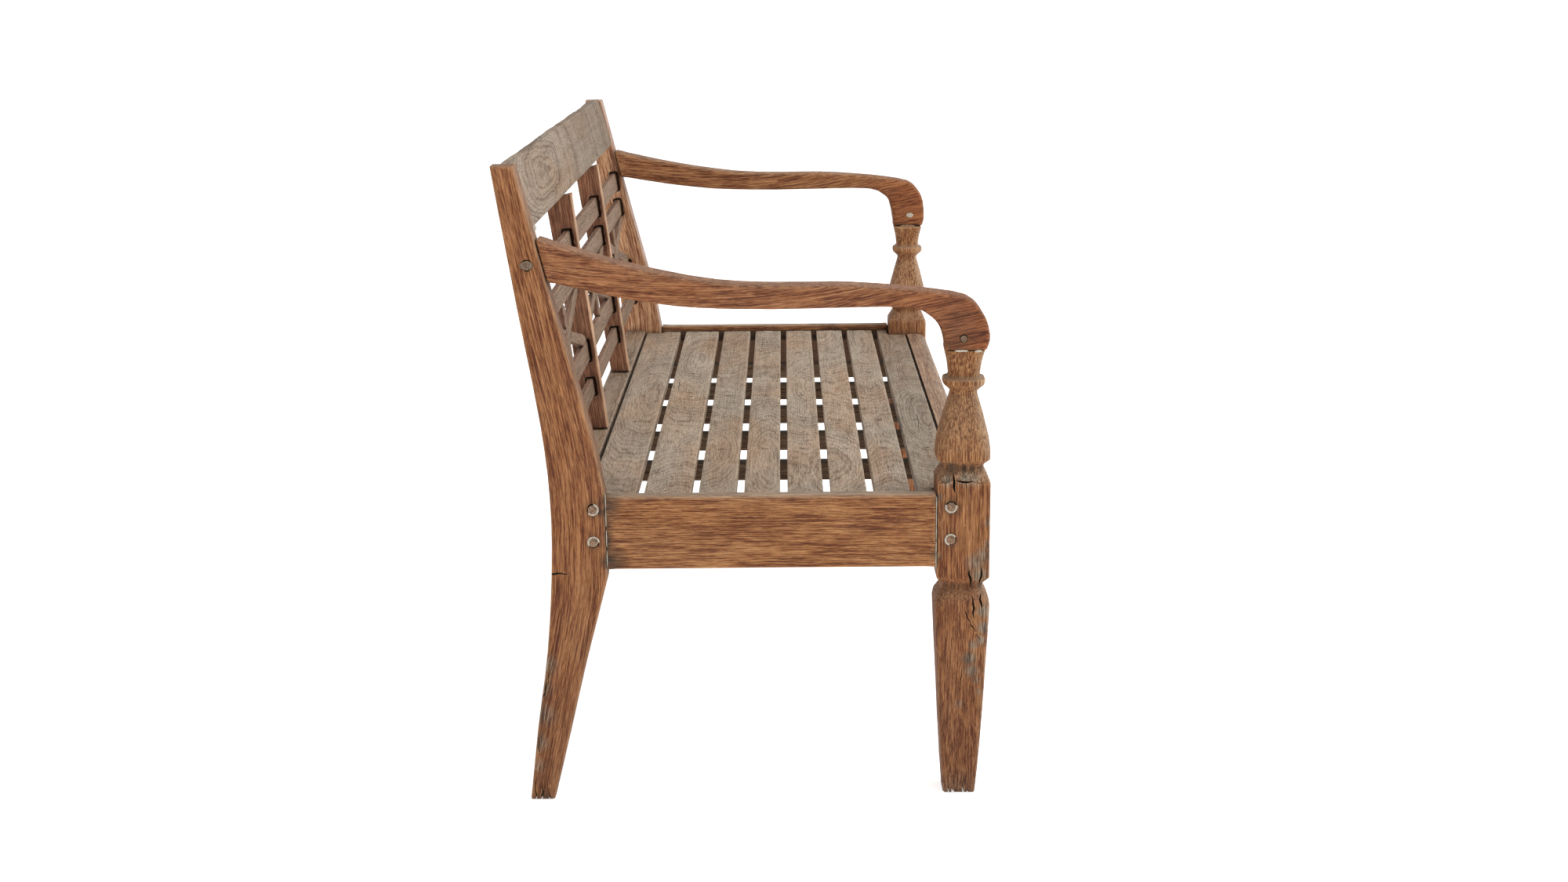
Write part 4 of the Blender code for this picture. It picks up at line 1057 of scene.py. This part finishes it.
# %% Pegs
for number, node in enumerate(sorted(node for node in nodes if node.startswith("peg_"))):
    low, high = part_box(node)
    side = -1 if low.x < 0 else 1
    outer = low.x if side < 0 else high.x
    radius = (high.z - low.z) / 2
    sides = 8 + number % 2
    piece = primitive("cylinder", f"whittled_{node}", vertices=sides, radius=radius, depth=high.x - low.x,
                      rotation=(0.0, 0.0, 0.35 * number))
    bake(piece)
    piece.rotation_euler = (0.0, side * math.pi / 2, 0.0)
    piece.location = (low + high) / 2
    bake(piece)
    for face in piece.data.polygons:
        face.select = abs(face.center.x - outer) < 0.0004 and abs(face.normal.x) > 0.9
    with editing():
        bpy.ops.mesh.select_mode(type="FACE")
        bpy.ops.mesh.inset(thickness=radius * 0.12)
        bpy.ops.transform.translate(value=(-side * 0.0003, 0.0, 0.0))
        bpy.ops.mesh.inset(thickness=radius * 0.25)
        bpy.ops.transform.translate(value=(-side * 0.0002, 0.0002, 0.0))
    step = piece.modifiers.new("edges", "BEVEL")
    step.width = 0.0005
    step.segments = 2
    apply_all(piece)

    def grain(at, low=low, high=high):
        return np.stack([at[:, 0], at[:, 1] - (low.y + high.y) / 2, at[:, 2] - (low.z + high.z) / 2], 1)

    # a dark spot on one side of the peg's head: painted shadow
    rim = (outer, (low.y + high.y) / 2 - radius * 0.5, (low.z + high.z) / 2 + radius * 0.6, radius * 0.8,
           0.15 if "arm" in node else 0.5)
    finish_piece(piece, node, "peg", grain, 50 + number, [rim],
                 tint=(0.75, 0.75, 0.75) if "arm" in node else (1.0, 1.0, 1.0))
print("pegs whittled")


# %% Putty
def settle(piece, material):
    """Give a small piece its finish and let it ride on the bench."""
    piece.data.materials.clear()
    piece.data.materials.append(material)
    bake(piece)
    bpy.ops.object.shade_smooth_by_angle(angle=math.radians(60))
    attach(piece, "root")


def lump(name, place, size, number, material=putty):
    """A flattened dab of putty with an uneven rim."""
    piece = primitive("ico_sphere", name, subdivisions=4, radius=0.5, location=place, scale=size)
    bake(piece)
    narrow = min(size[1:])
    sink(piece, (narrow * 0.35,) * 3, (0.0, 0.0, 0.0), narrow * 0.10 + size[0] * 0.1, number)
    settle(piece, material)


def crescent(name, node, start, number):
    """An open ring of putty round a peg's head, on the side that start, an angle, points to."""
    low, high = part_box(node)
    side = -1 if low.x < 0 else 1
    outer = low.x if side < 0 else high.x
    middle = Vector((outer - side * 0.0011, (low.y + high.y) / 2, (low.z + high.z) / 2))
    radius = (high.z - low.z) / 2
    thick_way = Vector((0.0, math.cos(start), math.sin(start)))
    piece = primitive("torus", name, major_radius=radius * 1.14, minor_radius=radius * 0.26,
                      major_segments=36, minor_segments=10, location=middle,
                      rotation=(0.0, math.pi / 2, 0.0))
    bake(piece)
    with editing(everything=True):
        bpy.ops.mesh.bisect(plane_co=middle - thick_way * radius * 0.45, plane_no=thick_way,
                            use_fill=True, clear_inner=True)
        bpy.ops.mesh.select_all(action="SELECT")
        bpy.ops.transform.resize(value=(0.55, 1.0, 1.0), center_override=middle)
    sink(piece, (0.003, 0.003, 0.003), (0.0, 0.0, 0.0), 0.0008, number)
    settle(piece, putty)


for number, (name, peg, start) in enumerate((
        ("back_upper", "back_leg_right_1", -2.6), ("back_lower", "back_leg_right_2", 1.2),
        ("front_upper", "front_leg_right_1", -1.5), ("front_lower", "front_leg_right_2", 0.6),
        ("far_upper", "front_leg_left_1", 0.4), ("far_back", "back_leg_left_1", 2.2)), 1):
    crescent(f"putty_{name}", f"peg_{peg}", start, number)
low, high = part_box("peg_arm_rear_right")
lump("putty_over_post_peg", (low.x + 0.0006, (low.y + high.y) / 2, (low.z + high.z) / 2),
     (0.0022, 0.019, 0.0125), 12, peg_putty)
arm_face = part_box("arm_right")[0].x
arm_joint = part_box("arm_right")[0].z
left_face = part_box("arm_left")[0].x
for number, (name, place, size) in enumerate((
        ("arm_top", (arm_face + 0.0015, 0.2670, 0.7835), (0.0035, 0.0060, 0.0080)),
        ("arm_joint_1", (arm_face + 0.0008, leg_y + 0.006, arm_joint), (0.0024, 0.018, 0.0034)),
        ("arm_joint_2", (arm_face + 0.0008, leg_y - 0.016, arm_joint - 0.0005), (0.0024, 0.010, 0.0040)),
        ("left_arm", (left_face + 0.0006, leg_y - 0.004, 0.6440), (0.0024, 0.014, 0.010))), 7):
    lump(f"putty_{name}", place, size, number)
for word, y, heights, long, first in (
        ("front", block_y + 0.0002, (0.415, 0.396, 0.377, 0.356, 0.338), 0.024, 10),
        ("back", post_y - 0.0002, (0.424, 0.400, 0.372, 0.344), 0.026, 16)):
    for k, z in enumerate(heights, 1):
        lump(f"putty_{word}_joint_{k}", (-end_x + 0.0014, y, z), (0.0022, 0.0016, long), first + k)
print("putty in place")

# %% Nails
NAIL_RADIUS, NAIL_LENGTH, NAIL_SUNK = 0.0019, 0.0030, 0.0021

pattern = primitive("cylinder", "nail", vertices=10, radius=NAIL_RADIUS, depth=NAIL_LENGTH)
for face in pattern.data.polygons:
    face.select = face.normal.z > 0.9
with editing():
    bpy.ops.mesh.inset(thickness=0.0006)
    bpy.ops.transform.translate(value=(0.0, 0.0, 0.0002))
for node in slats:
    low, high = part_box(node)
    wide = high.y - low.y
    heads = [(x + 0.004 * math.sin(9.0 * x + low.y * 70),
              low.y + wide * (0.5 + 0.10 * math.sin(17 * x + 50 * low.y))) for x in batten_x]
    heads += [(x, low.y + wide * s) for x in (-0.596, 0.596) for s in (0.27, 0.73)]
    copies = []
    for x, y in heads:
        copy = bpy.data.objects.new("nail", pattern.data.copy())
        bpy.context.scene.collection.objects.link(copy)
        copy.location = (x, y, high.z - NAIL_SUNK)
        copies.append(copy)
    join(copies)
    copies[0].name = f"nails_{node}"
    settle(copies[0], iron)
bpy.data.objects.remove(pattern, do_unlink=True)
print("nails in", len(slats), "slats")

# %% [markdown]
# ## The finished bench
#
# The helper object goes, and the bench's box is printed.

# %% Size and finish
bpy.data.objects.remove(stretcher, do_unlink=True)
low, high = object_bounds()
print("visual", [round(v, 4) for v in (*low, *high)])
